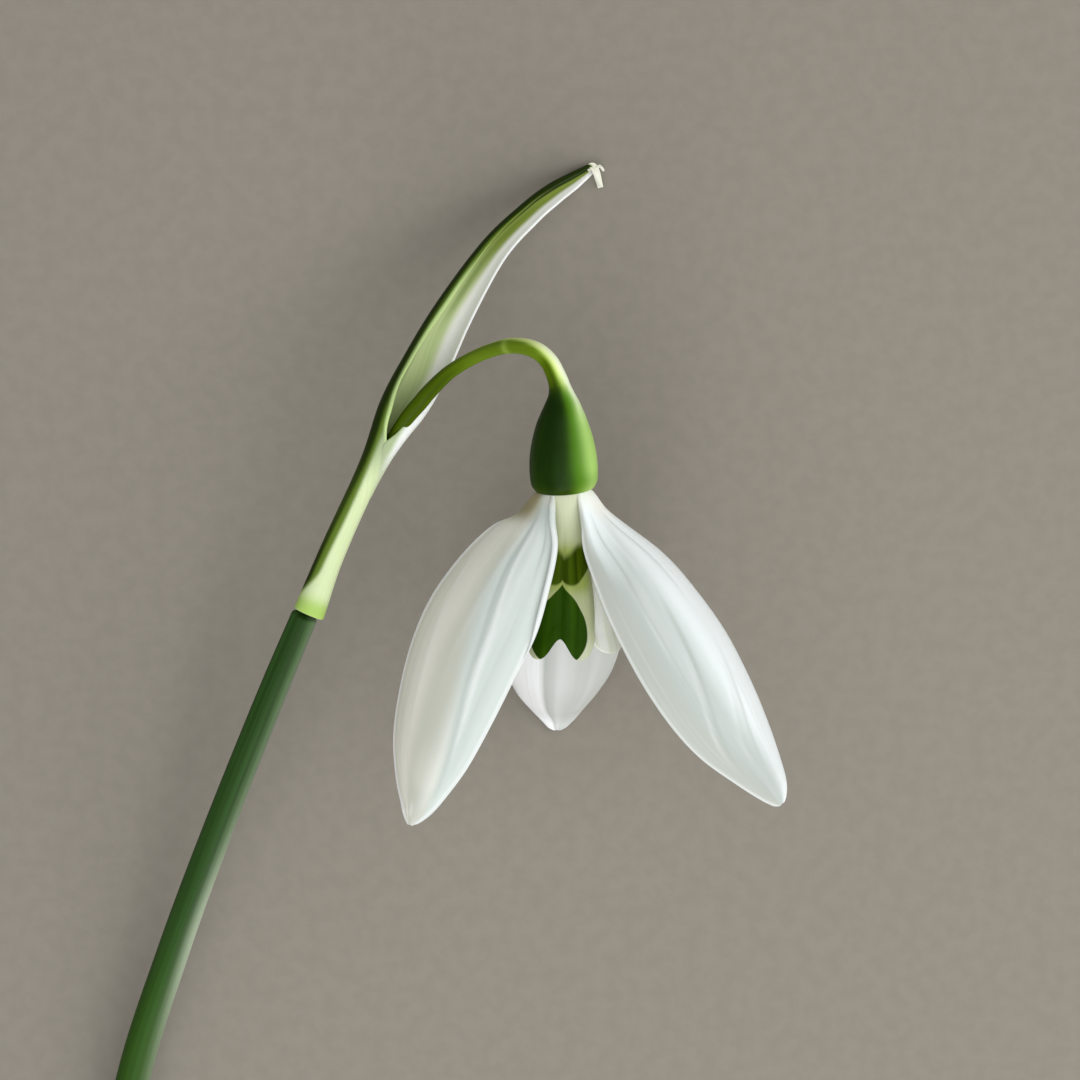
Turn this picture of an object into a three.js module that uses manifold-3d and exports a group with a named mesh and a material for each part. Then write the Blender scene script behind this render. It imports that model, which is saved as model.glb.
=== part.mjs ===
// Snowdrop, a single picked bloom, laid down on a table with its face to the side.
// Millimetres. +X is to the right as one looks down on it, +Y points up the stem, +Z is up off the table.
// The outlines are given from the middle of the view. The group is moved at the end, so that the origin
// lies on the table under the middle of the bloom.

import * as THREE from "three";
import Module from "manifold-3d";

const wasm = await Module();
wasm.setup();

// Driving sizes
const BLADE_THICK = 0.6;
const SEAT_GAP = 0.3;

const OVARY_BASE = [1.8, 3.7, 20.2];
const OVARY_RADII = [2.36, 2.43, 2.46, 2.38, 2.24, 2.0, 1.65, 1.25, 0.88, 0.62];
const OVARY_BASE_ROUNDING = 0.16;
const FLOWER_DIP = 15;

const PETAL_FOLDS = 3;
const PETAL_FOLD_DEPTH = 0.1;

const INNER_LENGTH = 12.0;
const INNER_START = 0.4;
const INNER_NOTCH = 1.7;
const INNER_NOTCH_WIDTH = 0.3;
const INNER_SHOULDER = 1.5;
const INNER_CUP_RADII = [1.62, 1.8, 2.15, 2.55, 2.9, 3.15, 3.3];
const INNER_HALF_WIDTHS = [0.58, 0.75, 1.25, 1.8, 2.25, 2.5, 2.45];

const STAMEN_COUNT = 6;
const STAMEN_LENGTH = 6.4;
const STAMEN_RING_RADIUS = 1.0;
const STAMEN_LEAN = 0.06;
const FILAMENT_RADIUS = 0.25;
const ANTHER_RADIUS = 0.4;
const STYLE_LENGTH = 8.2;
const STYLE_RADII = [0.28, 0.2];

const STEM_TOP_RADIUS = 0.95;
const STEM_CUT_RADIUS = 1.4;
const PEDICEL_RADIUS = 0.5;
const PEDICEL_ROOT_RADIUS = 0.25;
const PEDICEL_NECK_RADIUS = 0.6;

// How finely each piece is faceted: places along it, then sides round it or places across it
const FACETS = {
  scape: [34, 18],
  pedicel: [30, 12],
  ovary: [18, 26],
  style: [4, 10],
  stamenSides: 8,
  spathe: [44, 14],
  dryTip: [6, 2],
  outerTepal: [30, 10],
  innerTepal: [16, 12],
};

// Where the middle of the whole bloom lies, seen from above
const MIDDLE_X = -9.29;
const MIDDLE_Y = -18.26;

// Centre lines, from the cut end upwards
const STEM_LINE = [
  [-34.9, -65.0, 1.25],
  [-32.9, -52.5, 1.85],
  [-30.5, -40.7, 3.4],
  [-27.8, -31.1, 5.0],
  [-24.1, -21.8, 6.9],
  [-20.2, -11.8, 9.2],
  [-17.33, -5.6, 11.0],
];
const PEDICEL_LINE = [
  [-11.7, 6.4, 12.0],
  [-10.9, 7.8, 12.25],
  [-10.1, 9.0, 12.6],
  [-9.3, 10.0, 12.95],
  [-8.3, 10.9, 13.6],
  [-6.6, 12.2, 15.0],
  [-4.9, 13.1, 17.0],
  [-3.2, 13.7, 19.0],
  [-1.8, 13.8, 20.7],
  [-0.4, 13.4, 21.9],
  [0.5, 12.6, 22.4],
];
const OVARY_LINE = [OVARY_BASE, [1.6, 6.4, 20.9], [1.55, 8.5, 21.5], [1.45, 10.1, 21.9], [1.1, 11.4, 22.2]];

// Spathe: its outer edge on the left, with the full width of the sheath or blade beside it
const SPATHE_ROWS = [
  { edge: [-18.1, -5.0, 11.0], width: 1.9 },
  { edge: [-16.1, -0.4, 11.3], width: 2.1 },
  { edge: [-13.3, 5.7, 11.6], width: 2.05 },
  { edge: [-11.8, 10.1, 11.4], width: 3.1 },
  { edge: [-10.2, 13.3, 10.6], width: 3.5 },
  { edge: [-7.7, 17.6, 8.6], width: 3.0 },
  { edge: [-4.3, 22.4, 5.6], width: 2.2 },
  { edge: [-1.3, 25.4, 3.6], width: 1.9 },
  { edge: [0.6, 26.9, 2.5], width: 1.7 },
  { edge: [2.3, 27.9, 1.2], width: 1.3 },
  { edge: [3.9, 28.7, 0.32], width: 0.75 },
];

// In the same rows: where the two lips of its mouth lie round the section, in degrees, how deep the section
// is against its width, and how far it has opened, from a solid sheath at 0 to a hollow boat at 1
const NEAR_LIP = [52, 52, 78, 110, 118, 122, 124, 125, 126, 126, 126];
const FAR_LIP = [388, 388, 366, 346, 344, 343, 342, 340, 338, 336, 334];
const DEPTH_RATIO = [1, 1, 1, 0.84, 0.72, 0.72, 0.76, 0.8, 0.85, 0.9, 1];
const OPENING = [0, 0, 0.35, 1, 1, 1, 1, 1, 1, 0.7, 0];
const LEAST_OPENING = 0.06;
const WALL_SHARE = 0.62;

// The dry papery strip that hangs from its point
const DRY_TIP_LINE = [
  [3.9, 28.55, 0.42],
  [4.3, 28.2, 0.55],
  [4.5, 27.5, 0.5],
  [4.6, 26.8, 0.35],
];
const DRY_TIP_WIDTH = 0.65;
const DRY_TIP_TAPER = 0.25;

// Outer tepals: paired points on the inner and the outer edge, and how far the blade bulges between them
const LEFT_ROWS = [
  { inner: [0.95, 2.95, 21.7], outer: [-0.45, 3.15, 20.2], bulge: 0.15 },
  { inner: [0.9, 1.3, 22.1], outer: [-1.7, 1.8, 19.6], bulge: 0.4 },
  { inner: [1.0, -0.6, 22.4], outer: [-3.3, 0.9, 19.1], bulge: 0.9 },
  { inner: [0.4, -3.4, 22.9], outer: [-5.5, -1.3, 18.4], bulge: 1.5 },
  { inner: [-0.6, -6.9, 23.3], outer: [-7.6, -4.2, 17.8], bulge: 1.9 },
  { inner: [-2.0, -10.0, 23.5], outer: [-9.0, -7.4, 17.3], bulge: 2.0 },
  { inner: [-3.6, -13.2, 23.1], outer: [-9.9, -11.0, 17.1], bulge: 1.8 },
  { inner: [-5.2, -16.1, 22.3], outer: [-10.3, -14.2, 17.3], bulge: 1.4 },
  { inner: [-6.7, -18.2, 21.2], outer: [-10.1, -17.0, 17.9], bulge: 0.9 },
  { inner: [-7.8, -19.5, 20.3], outer: [-9.7, -18.9, 18.5], bulge: 0.5 },
  { inner: [-8.8, -20.3, 19.5], outer: [-9.4, -20.2, 19.1], bulge: 0.1 },
];
const RIGHT_ROWS = [
  { inner: [2.65, 2.95, 21.7], outer: [4.0, 3.1, 20.3], bulge: 0.15 },
  { inner: [2.9, 1.1, 22.1], outer: [4.8, 2.1, 19.9], bulge: 0.3 },
  { inner: [3.1, -0.8, 22.5], outer: [6.2, 0.9, 19.4], bulge: 0.7 },
  { inner: [4.0, -3.4, 23.0], outer: [8.5, -0.9, 18.7], bulge: 1.2 },
  { inner: [5.0, -5.9, 23.2], outer: [10.4, -2.9, 18.2], bulge: 1.6 },
  { inner: [7.0, -9.8, 23.1], outer: [13.0, -6.4, 17.6], bulge: 1.8 },
  { inner: [9.2, -13.1, 22.6], outer: [14.9, -10.0, 17.4], bulge: 1.7 },
  { inner: [11.4, -15.5, 21.8], outer: [16.2, -13.1, 17.5], bulge: 1.3 },
  { inner: [14.0, -17.4, 20.8], outer: [17.1, -15.8, 18.0], bulge: 0.8 },
  { inner: [15.6, -18.4, 20.1], outer: [17.4, -17.4, 18.6], bulge: 0.4 },
  { inner: [16.8, -18.9, 19.5], outer: [17.4, -18.4, 19.2], bulge: 0.1 },
];
const BACK_ROWS = [
  { inner: [2.6, 3.7, 18.3], outer: [1.0, 3.7, 18.3], bulge: 0.15 },
  { inner: [3.0, 2.3, 17.1], outer: [0.6, 2.3, 17.1], bulge: 0.3 },
  { inner: [4.3, 0.1, 15.1], outer: [-0.7, 0.1, 15.1], bulge: 0.8 },
  { inner: [5.5, -2.7, 12.5], outer: [-2.0, -2.7, 12.5], bulge: 1.5 },
  { inner: [6.2, -5.2, 10.1], outer: [-2.8, -5.2, 10.1], bulge: 2.0 },
  { inner: [6.1, -7.5, 7.6], outer: [-2.9, -7.5, 7.6], bulge: 2.1 },
  { inner: [5.65, -9.7, 5.3], outer: [-2.6, -9.7, 5.3], bulge: 1.9 },
  { inner: [4.75, -11.45, 3.0], outer: [-2.0, -11.45, 3.0], bulge: 1.3 },
  { inner: [3.75, -12.6, 1.25], outer: [-1.1, -12.6, 1.25], bulge: 0.8 },
  { inner: [2.65, -13.5, 0.42], outer: [0.0, -13.5, 0.42], bulge: 0.35 },
  { inner: [1.7, -14.3, 0.25], outer: [0.95, -14.3, 0.25], bulge: 0.05 },
];

// Colours and finishes
const paint = (color, roughness) => new THREE.MeshStandardMaterial({ color, roughness, metalness: 0 });
const stemGreen = paint(0x3f5f3c, 0.5);
const spatheGreen = paint(0x6f8f45, 0.45);
const pedicelGreen = paint(0x7aa23a, 0.4);
const ovaryGreen = paint(0x3f6a1c, 0.3);
const petalWhite = paint(0xf1f3ee, 0.5);
const innerWhite = paint(0xe9eedd, 0.5);
const antherOrange = paint(0xe09a2c, 0.6);
const styleGreen = paint(0xcfdcb0, 0.5);

const UP = new THREE.Vector3(0, 0, 1);
const vector = (xyz) => new THREE.Vector3(...xyz);
const radians = THREE.MathUtils.degToRad;

// A smooth curve through points, and a smooth run of numbers, both read from 0 to 1
const curveThrough = (points) => new THREE.CatmullRomCurve3(points.map(vector), false, "catmullrom", 0.5);
function smoothRun(values) {
  const spline = new THREE.SplineCurve(values.map((value, index) => new THREE.Vector2(index, value)));
  return (along) => spline.getPoint(along).y;
}

// Places from 0 to 1, evenly spread or crowded towards the start
const evenly = (count) => Array.from({ length: count + 1 }, (_, index) => index / count);
const crowded = (count) => evenly(count).map((place) => place ** 1.5);

// Nothing reaches below the table, so the lowest points become small flat spots
function onTable(point) {
  return new THREE.Vector3(point.x, point.y, Math.max(point.z, 0));
}

// A mesh from points and triangles, turned so that its faces point outwards
function closedGeometry(points, triangles) {
  const volume = triangles.reduce((sum, [a, b, c]) => {
    return sum + points[a].dot(new THREE.Vector3().crossVectors(points[b], points[c]));
  }, 0);
  const outward = volume > 0 ? triangles : triangles.map(([a, b, c]) => [a, c, b]);
  const geometry = new THREE.BufferGeometry();
  geometry.setFromPoints(points);
  geometry.setIndex(outward.flat());
  geometry.computeVertexNormals();
  return geometry;
}

// A blade between two grids of points that match, closed round its rim
function bladeGeometry(faceGrid, backGrid) {
  const rows = faceGrid.length;
  const columns = faceGrid[0].length;
  const points = [...faceGrid.flat(), ...backGrid.flat()].map(onTable);
  const face = (row, column) => row * columns + column;
  const back = (row, column) => rows * columns + face(row, column);
  const triangles = [];
  const quad = (a, b, c, d) => triangles.push([a, b, c], [a, c, d]);
  for (let row = 0; row < rows - 1; row += 1) {
    for (let column = 0; column < columns - 1; column += 1) {
      const corners = [[row, column], [row + 1, column], [row + 1, column + 1], [row, column + 1]];
      quad(...corners.map(([r, c]) => face(r, c)));
      const [a, b, c, d] = corners.map(([r, k]) => back(r, k));
      triangles.push([a, c, b], [a, d, c]);
    }
    const last = columns - 1;
    quad(face(row, 0), back(row, 0), back(row + 1, 0), face(row + 1, 0));
    quad(face(row, last), face(row + 1, last), back(row + 1, last), back(row, last));
  }
  for (let column = 0; column < columns - 1; column += 1) {
    const last = rows - 1;
    quad(face(0, column), face(0, column + 1), back(0, column + 1), back(0, column));
    quad(face(last, column), back(last, column), back(last, column + 1), face(last, column + 1));
  }
  return closedGeometry(points, triangles);
}

// A solid skinned over rings of points, with a flat cap on each end
function ringGeometry(rings) {
  const sides = rings[0].length;
  const points = rings.flat().map(onTable);
  const triangles = [];
  for (let ring = 0; ring < rings.length - 1; ring += 1) {
    for (let side = 0; side < sides; side += 1) {
      const next = (side + 1) % sides;
      const a = ring * sides + side;
      const b = ring * sides + next;
      triangles.push([a, b, b + sides], [a, b + sides, a + sides]);
    }
  }
  const sumOf = (ring) => ring.reduce((sum, point) => sum.add(point), new THREE.Vector3());
  const middle = (ring) => sumOf(ring).divideScalar(sides);
  const start = points.push(onTable(middle(rings[0]))) - 1;
  const end = points.push(onTable(middle(rings.at(-1)))) - 1;
  const lastRing = (rings.length - 1) * sides;
  for (let side = 0; side < sides; side += 1) {
    const next = (side + 1) % sides;
    triangles.push([start, next, side], [end, lastRing + side, lastRing + next]);
  }
  return closedGeometry(points, triangles);
}

// Rings along a curve, with a radius for each place on it
function roundStem(curve, radiusAt, places, sides) {
  const rings = places.map((along) => {
    const tangent = curve.getTangentAt(along);
    const sideways = tangent.clone().cross(UP).normalize();
    const upwards = sideways.clone().cross(tangent);
    const centre = curve.getPointAt(along);
    return Array.from({ length: sides }, (_, side) => {
      const turn = (2 * Math.PI * side) / sides;
      const point = centre.clone().addScaledVector(sideways, radiusAt(along) * Math.cos(turn));
      return point.addScaledVector(upwards, radiusAt(along) * Math.sin(turn));
    });
  });
  return ringGeometry(rings);
}

// A thick blade over a surface that is given as a point for each place along and across
function thickBlade(surface, rows, columns) {
  const half = BLADE_THICK / 2;
  const nudge = 1e-3;
  const faceGrid = [];
  const backGrid = [];
  for (const along of evenly(rows)) {
    const faceRow = [];
    const backRow = [];
    for (const across of evenly(columns)) {
      const low = Math.max(along - nudge, 0);
      const high = Math.min(along + nudge, 1);
      const near = Math.max(across - nudge, 0);
      const far = Math.min(across + nudge, 1);
      const lengthways = surface(high, across).sub(surface(low, across));
      const sideways = surface(along, far).sub(surface(along, near));
      const normal = sideways.cross(lengthways).normalize();
      faceRow.push(surface(along, across).addScaledVector(normal, half));
      backRow.push(surface(along, across).addScaledVector(normal, -half));
    }
    faceGrid.push(faceRow);
    backGrid.push(backRow);
  }
  return bladeGeometry(faceGrid, backGrid);
}

// Outer tepals
function outerTepal(rows, outwardSign, foldPhase) {
  const innerEdge = curveThrough(rows.map((row) => row.inner));
  const outerEdge = curveThrough(rows.map((row) => row.outer));
  const bulgeAt = smoothRun(rows.map((row) => row.bulge));
  const surface = (along, across) => {
    const from = innerEdge.getPoint(along);
    const to = outerEdge.getPoint(along);
    const chord = to.clone().sub(from);
    const lengthways = innerEdge.getTangent(along).add(outerEdge.getTangent(along)).normalize();
    const outward = chord.clone().cross(lengthways).normalize().multiplyScalar(outwardSign);
    const bulge = bulgeAt(along);
    const halfChord = chord.length() / 2;
    const radius = (halfChord * halfChord + bulge * bulge) / (2 * bulge);
    const halfAngle = Math.asin(Math.min(halfChord / radius, 1));
    const angle = (2 * across - 1) * halfAngle;
    const middle = from.add(to).multiplyScalar(0.5);
    const rise = radius * (Math.cos(angle) - Math.cos(halfAngle));
    const ridges = Math.sin(Math.PI * (2 * PETAL_FOLDS * across + foldPhase));
    const fading = Math.sin(Math.PI * across) * Math.sin(Math.PI * along);
    const point = middle.addScaledVector(chord.normalize(), radius * Math.sin(angle));
    return point.addScaledVector(outward, rise + PETAL_FOLD_DEPTH * ridges * fading);
  };
  return thickBlade(surface, ...FACETS.outerTepal);
}

// The flower's own axes: down its middle, out to the front and out to the right
const dip = radians(FLOWER_DIP);
const flowerDown = new THREE.Vector3(0, -Math.cos(dip), -Math.sin(dip));
const flowerRight = new THREE.Vector3(1, 0, 0);
const flowerFront = new THREE.Vector3().crossVectors(flowerDown, flowerRight);

// A point in the flower, by distance below the ovary, radius and turn from the front
function inFlower(below, radius, turn) {
  const point = vector(OVARY_BASE).addScaledVector(flowerDown, below);
  point.addScaledVector(flowerFront, radius * Math.cos(turn));
  return point.addScaledVector(flowerRight, radius * Math.sin(turn));
}

// Inner tepals, narrow at the claw, wide and notched at the end
const cupRadius = smoothRun(INNER_CUP_RADII);
const innerHalfWidth = smoothRun(INNER_HALF_WIDTHS);
function innerTepal(turnDegrees, widthFactor) {
  const turn = radians(turnDegrees);
  const surface = (along, across) => {
    const side = 2 * across - 1;
    const notch = INNER_NOTCH * Math.exp(-((side / INNER_NOTCH_WIDTH) ** 2));
    const shoulder = INNER_SHOULDER * side ** 6;
    const length = INNER_LENGTH - INNER_START - notch - shoulder;
    const below = INNER_START + along * length;
    const radius = cupRadius(below / INNER_LENGTH);
    const spread = (innerHalfWidth(along) * widthFactor * side) / radius;
    return inFlower(below, radius, turn + spread);
  };
  return thickBlade(surface, ...FACETS.innerTepal);
}

// Stamens, each a thin filament that carries a long pointed anther: place along it, and radius
const stamenProfile = [
  [0, FILAMENT_RADIUS],
  [0.16, FILAMENT_RADIUS],
  [0.2, 0.9 * ANTHER_RADIUS],
  [0.3, ANTHER_RADIUS],
  [0.6, 0.95 * ANTHER_RADIUS],
  [0.85, 0.65 * ANTHER_RADIUS],
  [1, 0.2 * ANTHER_RADIUS],
];
function stamen(turnDegrees) {
  const turn = radians(turnDegrees);
  const sides = FACETS.stamenSides;
  const rings = stamenProfile.map(([along, radius]) => {
    const ringRadius = STAMEN_RING_RADIUS * (1 - STAMEN_LEAN * along);
    const centre = inFlower(SEAT_GAP + along * STAMEN_LENGTH, ringRadius, turn);
    return Array.from({ length: sides }, (_, side) => {
      const around = (2 * Math.PI * side) / sides;
      const point = centre.clone().addScaledVector(flowerFront, radius * Math.cos(around));
      return point.addScaledVector(flowerRight, radius * Math.sin(around));
    });
  });
  return ringGeometry(rings);
}

// Style, the slender column in the middle of the stamens
function style() {
  const line = new THREE.LineCurve3(inFlower(SEAT_GAP, 0, 0), inFlower(STYLE_LENGTH, 0, 0));
  const radiusAt = (along) => THREE.MathUtils.lerp(...STYLE_RADII, along);
  const [steps, sides] = FACETS.style;
  return roundStem(line, radiusAt, evenly(steps), sides);
}

// Ovary, a smooth pear shape whose neck leans a little towards the pedicel
const ovaryCurve = curveThrough(OVARY_LINE);
const ovaryProfile = smoothRun(OVARY_RADII);
function ovary() {
  const radiusAt = (along) => {
    const nearBase = Math.max(1 - 10 * along, 0);
    return ovaryProfile(along) * (1 - OVARY_BASE_ROUNDING * nearBase ** 2);
  };
  const [steps, sides] = FACETS.ovary;
  return roundStem(ovaryCurve, radiusAt, crowded(steps), sides);
}

// Spathe: a sheath below, which opens on its right side into a long boat-shaped blade
function spathe() {
  const edge = curveThrough(SPATHE_ROWS.map((row) => row.edge));
  const widthAt = smoothRun(SPATHE_ROWS.map((row) => row.width));
  const nearLipAt = smoothRun(NEAR_LIP);
  const farLipAt = smoothRun(FAR_LIP);
  const depthRatioAt = smoothRun(DEPTH_RATIO);
  const openingAt = smoothRun(OPENING);
  const [steps, columns] = FACETS.spathe;
  const outerGrid = [];
  const innerGrid = [];
  for (const along of evenly(steps)) {
    const tangent = edge.getTangent(along);
    const sideways = tangent.clone().cross(UP).normalize();
    const upwards = sideways.clone().cross(tangent).normalize();
    const halfWidth = widthAt(along) / 2;
    const halfDepth = halfWidth * depthRatioAt(along);
    const nearLip = radians(nearLipAt(along));
    const farLip = radians(farLipAt(along));
    const wall = Math.min(BLADE_THICK, WALL_SHARE * halfWidth);
    const centre = edge.getPoint(along).addScaledVector(sideways, halfWidth);
    const onEllipse = (turn, inset) => {
      const point = centre.clone().addScaledVector(sideways, (halfWidth - inset) * Math.cos(turn));
      return point.addScaledVector(upwards, (halfDepth - inset) * Math.sin(turn));
    };
    const nearMouth = onEllipse(nearLip, 0);
    const farMouth = onEllipse(farLip, 0);
    const hollow = THREE.MathUtils.lerp(LEAST_OPENING, 1, openingAt(along));
    const outerRow = [];
    const innerRow = [];
    for (const across of evenly(columns)) {
      const turn = THREE.MathUtils.lerp(nearLip, farLip, across);
      const mouth = nearMouth.clone().lerp(farMouth, across);
      outerRow.push(onEllipse(turn, 0));
      innerRow.push(mouth.lerp(onEllipse(turn, wall), hollow));
    }
    outerGrid.push(outerRow);
    innerGrid.push(innerRow);
  }
  return bladeGeometry(outerGrid, innerGrid);
}

// The spathe's dry tip
function dryTip() {
  const edge = curveThrough(DRY_TIP_LINE);
  const across = new THREE.Vector3(1, 0.15, 0.2).normalize();
  const surface = (along, side) => {
    const width = DRY_TIP_WIDTH * (1 - DRY_TIP_TAPER * along);
    return edge.getPoint(along).addScaledVector(across, (side - 0.5) * width);
  };
  return thickBlade(surface, ...FACETS.dryTip);
}

// Two closed pieces joined into one solid
function joined(first, second) {
  const [one, other] = [first, second].map((geometry) => {
    const vertProperties = Float32Array.from(geometry.attributes.position.array);
    const triVerts = Uint32Array.from(geometry.index.array);
    return new wasm.Manifold(new wasm.Mesh({ numProp: 3, vertProperties, triVerts }));
  });
  const whole = one.add(other).getMesh();
  const geometry = new THREE.BufferGeometry();
  geometry.setAttribute("position", new THREE.BufferAttribute(whole.vertProperties, 3));
  geometry.setIndex(new THREE.BufferAttribute(whole.triVerts, 1));
  geometry.computeVertexNormals();
  return geometry;
}

// Pedicel, thin at its root in the spathe, which ends just short of the ovary's neck and swells to meet it
function pedicel() {
  const end = ovaryCurve.getPoint(1).addScaledVector(ovaryCurve.getTangent(1), SEAT_GAP);
  const curve = curveThrough([...PEDICEL_LINE, end.toArray()]);
  const radiusAt = (along) => {
    const root = Math.max(1 - 6 * along, 0);
    const atRoot = THREE.MathUtils.lerp(PEDICEL_RADIUS, PEDICEL_ROOT_RADIUS, root);
    return THREE.MathUtils.lerp(atRoot, PEDICEL_NECK_RADIUS, along ** 8);
  };
  const [steps, sides] = FACETS.pedicel;
  return roundStem(curve, radiusAt, evenly(steps), sides);
}

// Scape, the flower stem, thicker towards its cut end
function scape() {
  const radiusAt = (along) => THREE.MathUtils.lerp(STEM_CUT_RADIUS, STEM_TOP_RADIUS, along);
  const [steps, sides] = FACETS.scape;
  return roundStem(curveThrough(STEM_LINE), radiusAt, evenly(steps), sides);
}

const bloom = new THREE.Group();
bloom.position.set(-MIDDLE_X, -MIDDLE_Y, 0);

function place(name, geometry, material) {
  const mesh = new THREE.Mesh(geometry, material);
  mesh.name = name;
  bloom.add(mesh);
}

place("scape", scape(), stemGreen);
place("spathe", joined(spathe(), dryTip()), spatheGreen);
place("pedicel", pedicel(), pedicelGreen);
place("ovary", ovary(), ovaryGreen);

place("outer_tepal_left", outerTepal(LEFT_ROWS, 1, 0.2), petalWhite);
place("outer_tepal_right", outerTepal(RIGHT_ROWS, -1, 0.6), petalWhite);
place("outer_tepal_back", outerTepal(BACK_ROWS, 1, 0.4), petalWhite);

place("inner_tepal_front", innerTepal(-2, 0.95), innerWhite);
place("inner_tepal_right", innerTepal(103, 1.2), innerWhite);
place("inner_tepal_left", innerTepal(-122, 1.2), innerWhite);

for (let index = 0; index < STAMEN_COUNT; index += 1) {
  const turnDegrees = (360 * (index + 0.5)) / STAMEN_COUNT;
  place(`stamen_${index + 1}`, stamen(turnDegrees), antherOrange);
}
place("style", style(), styleGreen);

export default bloom;
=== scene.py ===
"""Snowdrop, one picked bloom laid on a table, seen from straight above.

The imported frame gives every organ's place. Here each organ is modelled again, finer, in the same place,
and gets the look of living plant tissue. Shapes are worked out in millimetres, seen from the middle of
the view, and are moved into the frame and turned to metres as each mesh is made.
"""

import math

import bmesh
import bpy
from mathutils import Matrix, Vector


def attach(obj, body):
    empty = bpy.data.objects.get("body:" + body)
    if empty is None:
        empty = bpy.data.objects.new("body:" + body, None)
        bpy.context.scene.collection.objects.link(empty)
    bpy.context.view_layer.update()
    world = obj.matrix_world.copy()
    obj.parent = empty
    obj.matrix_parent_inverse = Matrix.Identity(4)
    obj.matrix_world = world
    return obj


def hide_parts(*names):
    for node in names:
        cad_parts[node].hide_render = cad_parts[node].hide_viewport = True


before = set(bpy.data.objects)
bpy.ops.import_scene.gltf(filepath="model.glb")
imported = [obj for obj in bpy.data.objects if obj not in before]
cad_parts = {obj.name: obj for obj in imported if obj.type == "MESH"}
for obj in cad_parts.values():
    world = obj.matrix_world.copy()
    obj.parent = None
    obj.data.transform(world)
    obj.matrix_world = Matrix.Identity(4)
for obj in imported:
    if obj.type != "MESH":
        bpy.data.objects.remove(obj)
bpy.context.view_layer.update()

MM = 0.001
UP = Vector((0, 0, 1))

# The frame's origin, in mm as seen from the middle of the view
FRAME_ORIGIN = Vector((-9.29, -18.26, 0.0))

# The camera, in mm: the photograph holds 14 pixels to a millimetre at the flower, 20 mm above the table
PHOTO_PIXELS = 1080
PIXELS_PER_MM = 14.0
FLOWER_HEIGHT = 20.0
CAMERA_DISTANCE = 300.0
NEAREST_IN_VIEW = 10.0
SENSOR_WIDTH = 36.0

# The table top's half width in metres. The air lights all sides evenly, and the lamps add soft daylight
TABLE_HALF_WIDTH = 1.5
AIR_COLOUR = "#f1f3f1"
AIR_STRENGTH = 0.45

# Where the lamps aim, and each lamp's name, its place and size, its power in watts and its colour. These
# places are in the frame itself, in mm
LAMP_AIM = (10, 15, 20)
LAMPS = [
    ("low_window", (440, 110, 190), (200, 260), 0.55, "#fdfdfd"),
    ("high_window", (340, -60, 400), (300, 300), 0.7, "#fdfeff"),
    ("overhead", (0, -160, 620), (700, 700), 1.8, "#f9fcff"),
    ("front_window", (10, -420, 330), (400, 300), 1.2, "#fafcff"),
]

# The flower's own axes: down its middle, out to the right and out to the front
OVARY_BASE = Vector((1.8, 3.7, 20.2))
FLOWER_DIP = math.radians(15)
FLOWER_DOWN = Vector((0, -math.cos(FLOWER_DIP), -math.sin(FLOWER_DIP)))
FLOWER_RIGHT = Vector((1, 0, 0))
FLOWER_FRONT = FLOWER_DOWN.cross(FLOWER_RIGHT)

# Width and length in mm of the surface that each skin's streaks run along
OUTER_PETAL_SIZE = (9.0, 27.0)
INNER_PETAL_SIZE = (5.0, 12.0)
SPATHE_SIZE = (7.0, 38.0)
DRY_TIP_SIZE = (0.7, 2.0)
STEM_SIZE = (7.0, 62.0)
STALK_AND_OVARY_SIZE = (12.0, 8.0)
STYLE_SIZE = (1.6, 8.0)

# How thick each tissue is, in mm
PETAL_THICK = 0.34
INNER_PETAL_THICK = 0.36
SPATHE_WALL = 0.3
DRY_TISSUE = 0.12

# Points of a tube's seam and ends that lie closer than this, in metres, are one
SEAM_GAP = 1e-7

# Outer petals, from claw to tip: paired points on the inner and the outer edge, and how far the blade bulges
# between them
LEFT_ROWS = [
    ((0.95, 2.95, 21.7), (-0.45, 3.15, 20.2), 0.15),
    ((0.9, 1.3, 22.1), (-1.7, 1.8, 19.6), 0.4),
    ((1.0, -0.6, 22.4), (-3.3, 0.9, 19.1), 0.9),
    ((0.4, -3.4, 22.9), (-5.5, -1.3, 18.4), 1.5),
    ((-0.6, -6.9, 23.3), (-7.6, -4.2, 17.8), 1.9),
    ((-2.0, -10.0, 23.5), (-9.0, -7.4, 17.3), 2.0),
    ((-3.6, -13.2, 23.1), (-9.9, -11.0, 17.1), 1.8),
    ((-5.2, -16.1, 22.3), (-10.3, -14.2, 17.3), 1.4),
    ((-6.7, -18.2, 21.2), (-10.1, -17.0, 17.9), 0.9),
    ((-7.8, -19.5, 20.3), (-9.7, -18.9, 18.5), 0.5),
    ((-9.0, -20.45, 19.5), (-9.5, -20.35, 19.1), 0.1),
]
RIGHT_ROWS = [
    ((2.65, 2.95, 21.7), (4.0, 3.1, 20.3), 0.15),
    ((2.9, 1.1, 22.1), (4.8, 2.1, 19.9), 0.3),
    ((3.1, -0.8, 22.5), (6.2, 0.9, 19.4), 0.7),
    ((4.0, -3.4, 23.0), (8.5, -0.9, 18.7), 1.2),
    ((5.0, -5.9, 23.2), (10.4, -2.9, 18.2), 1.6),
    ((7.0, -9.8, 23.1), (13.0, -6.4, 17.6), 1.8),
    ((9.2, -13.1, 22.6), (14.9, -10.0, 17.4), 1.7),
    ((11.4, -15.5, 21.8), (16.2, -13.1, 17.5), 1.3),
    ((14.0, -17.4, 20.8), (17.1, -15.8, 18.0), 0.8),
    ((15.8, -18.55, 20.1), (17.5, -17.45, 18.6), 0.4),
    ((17.0, -19.15, 19.5), (17.45, -18.75, 19.2), 0.1),
]
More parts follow.
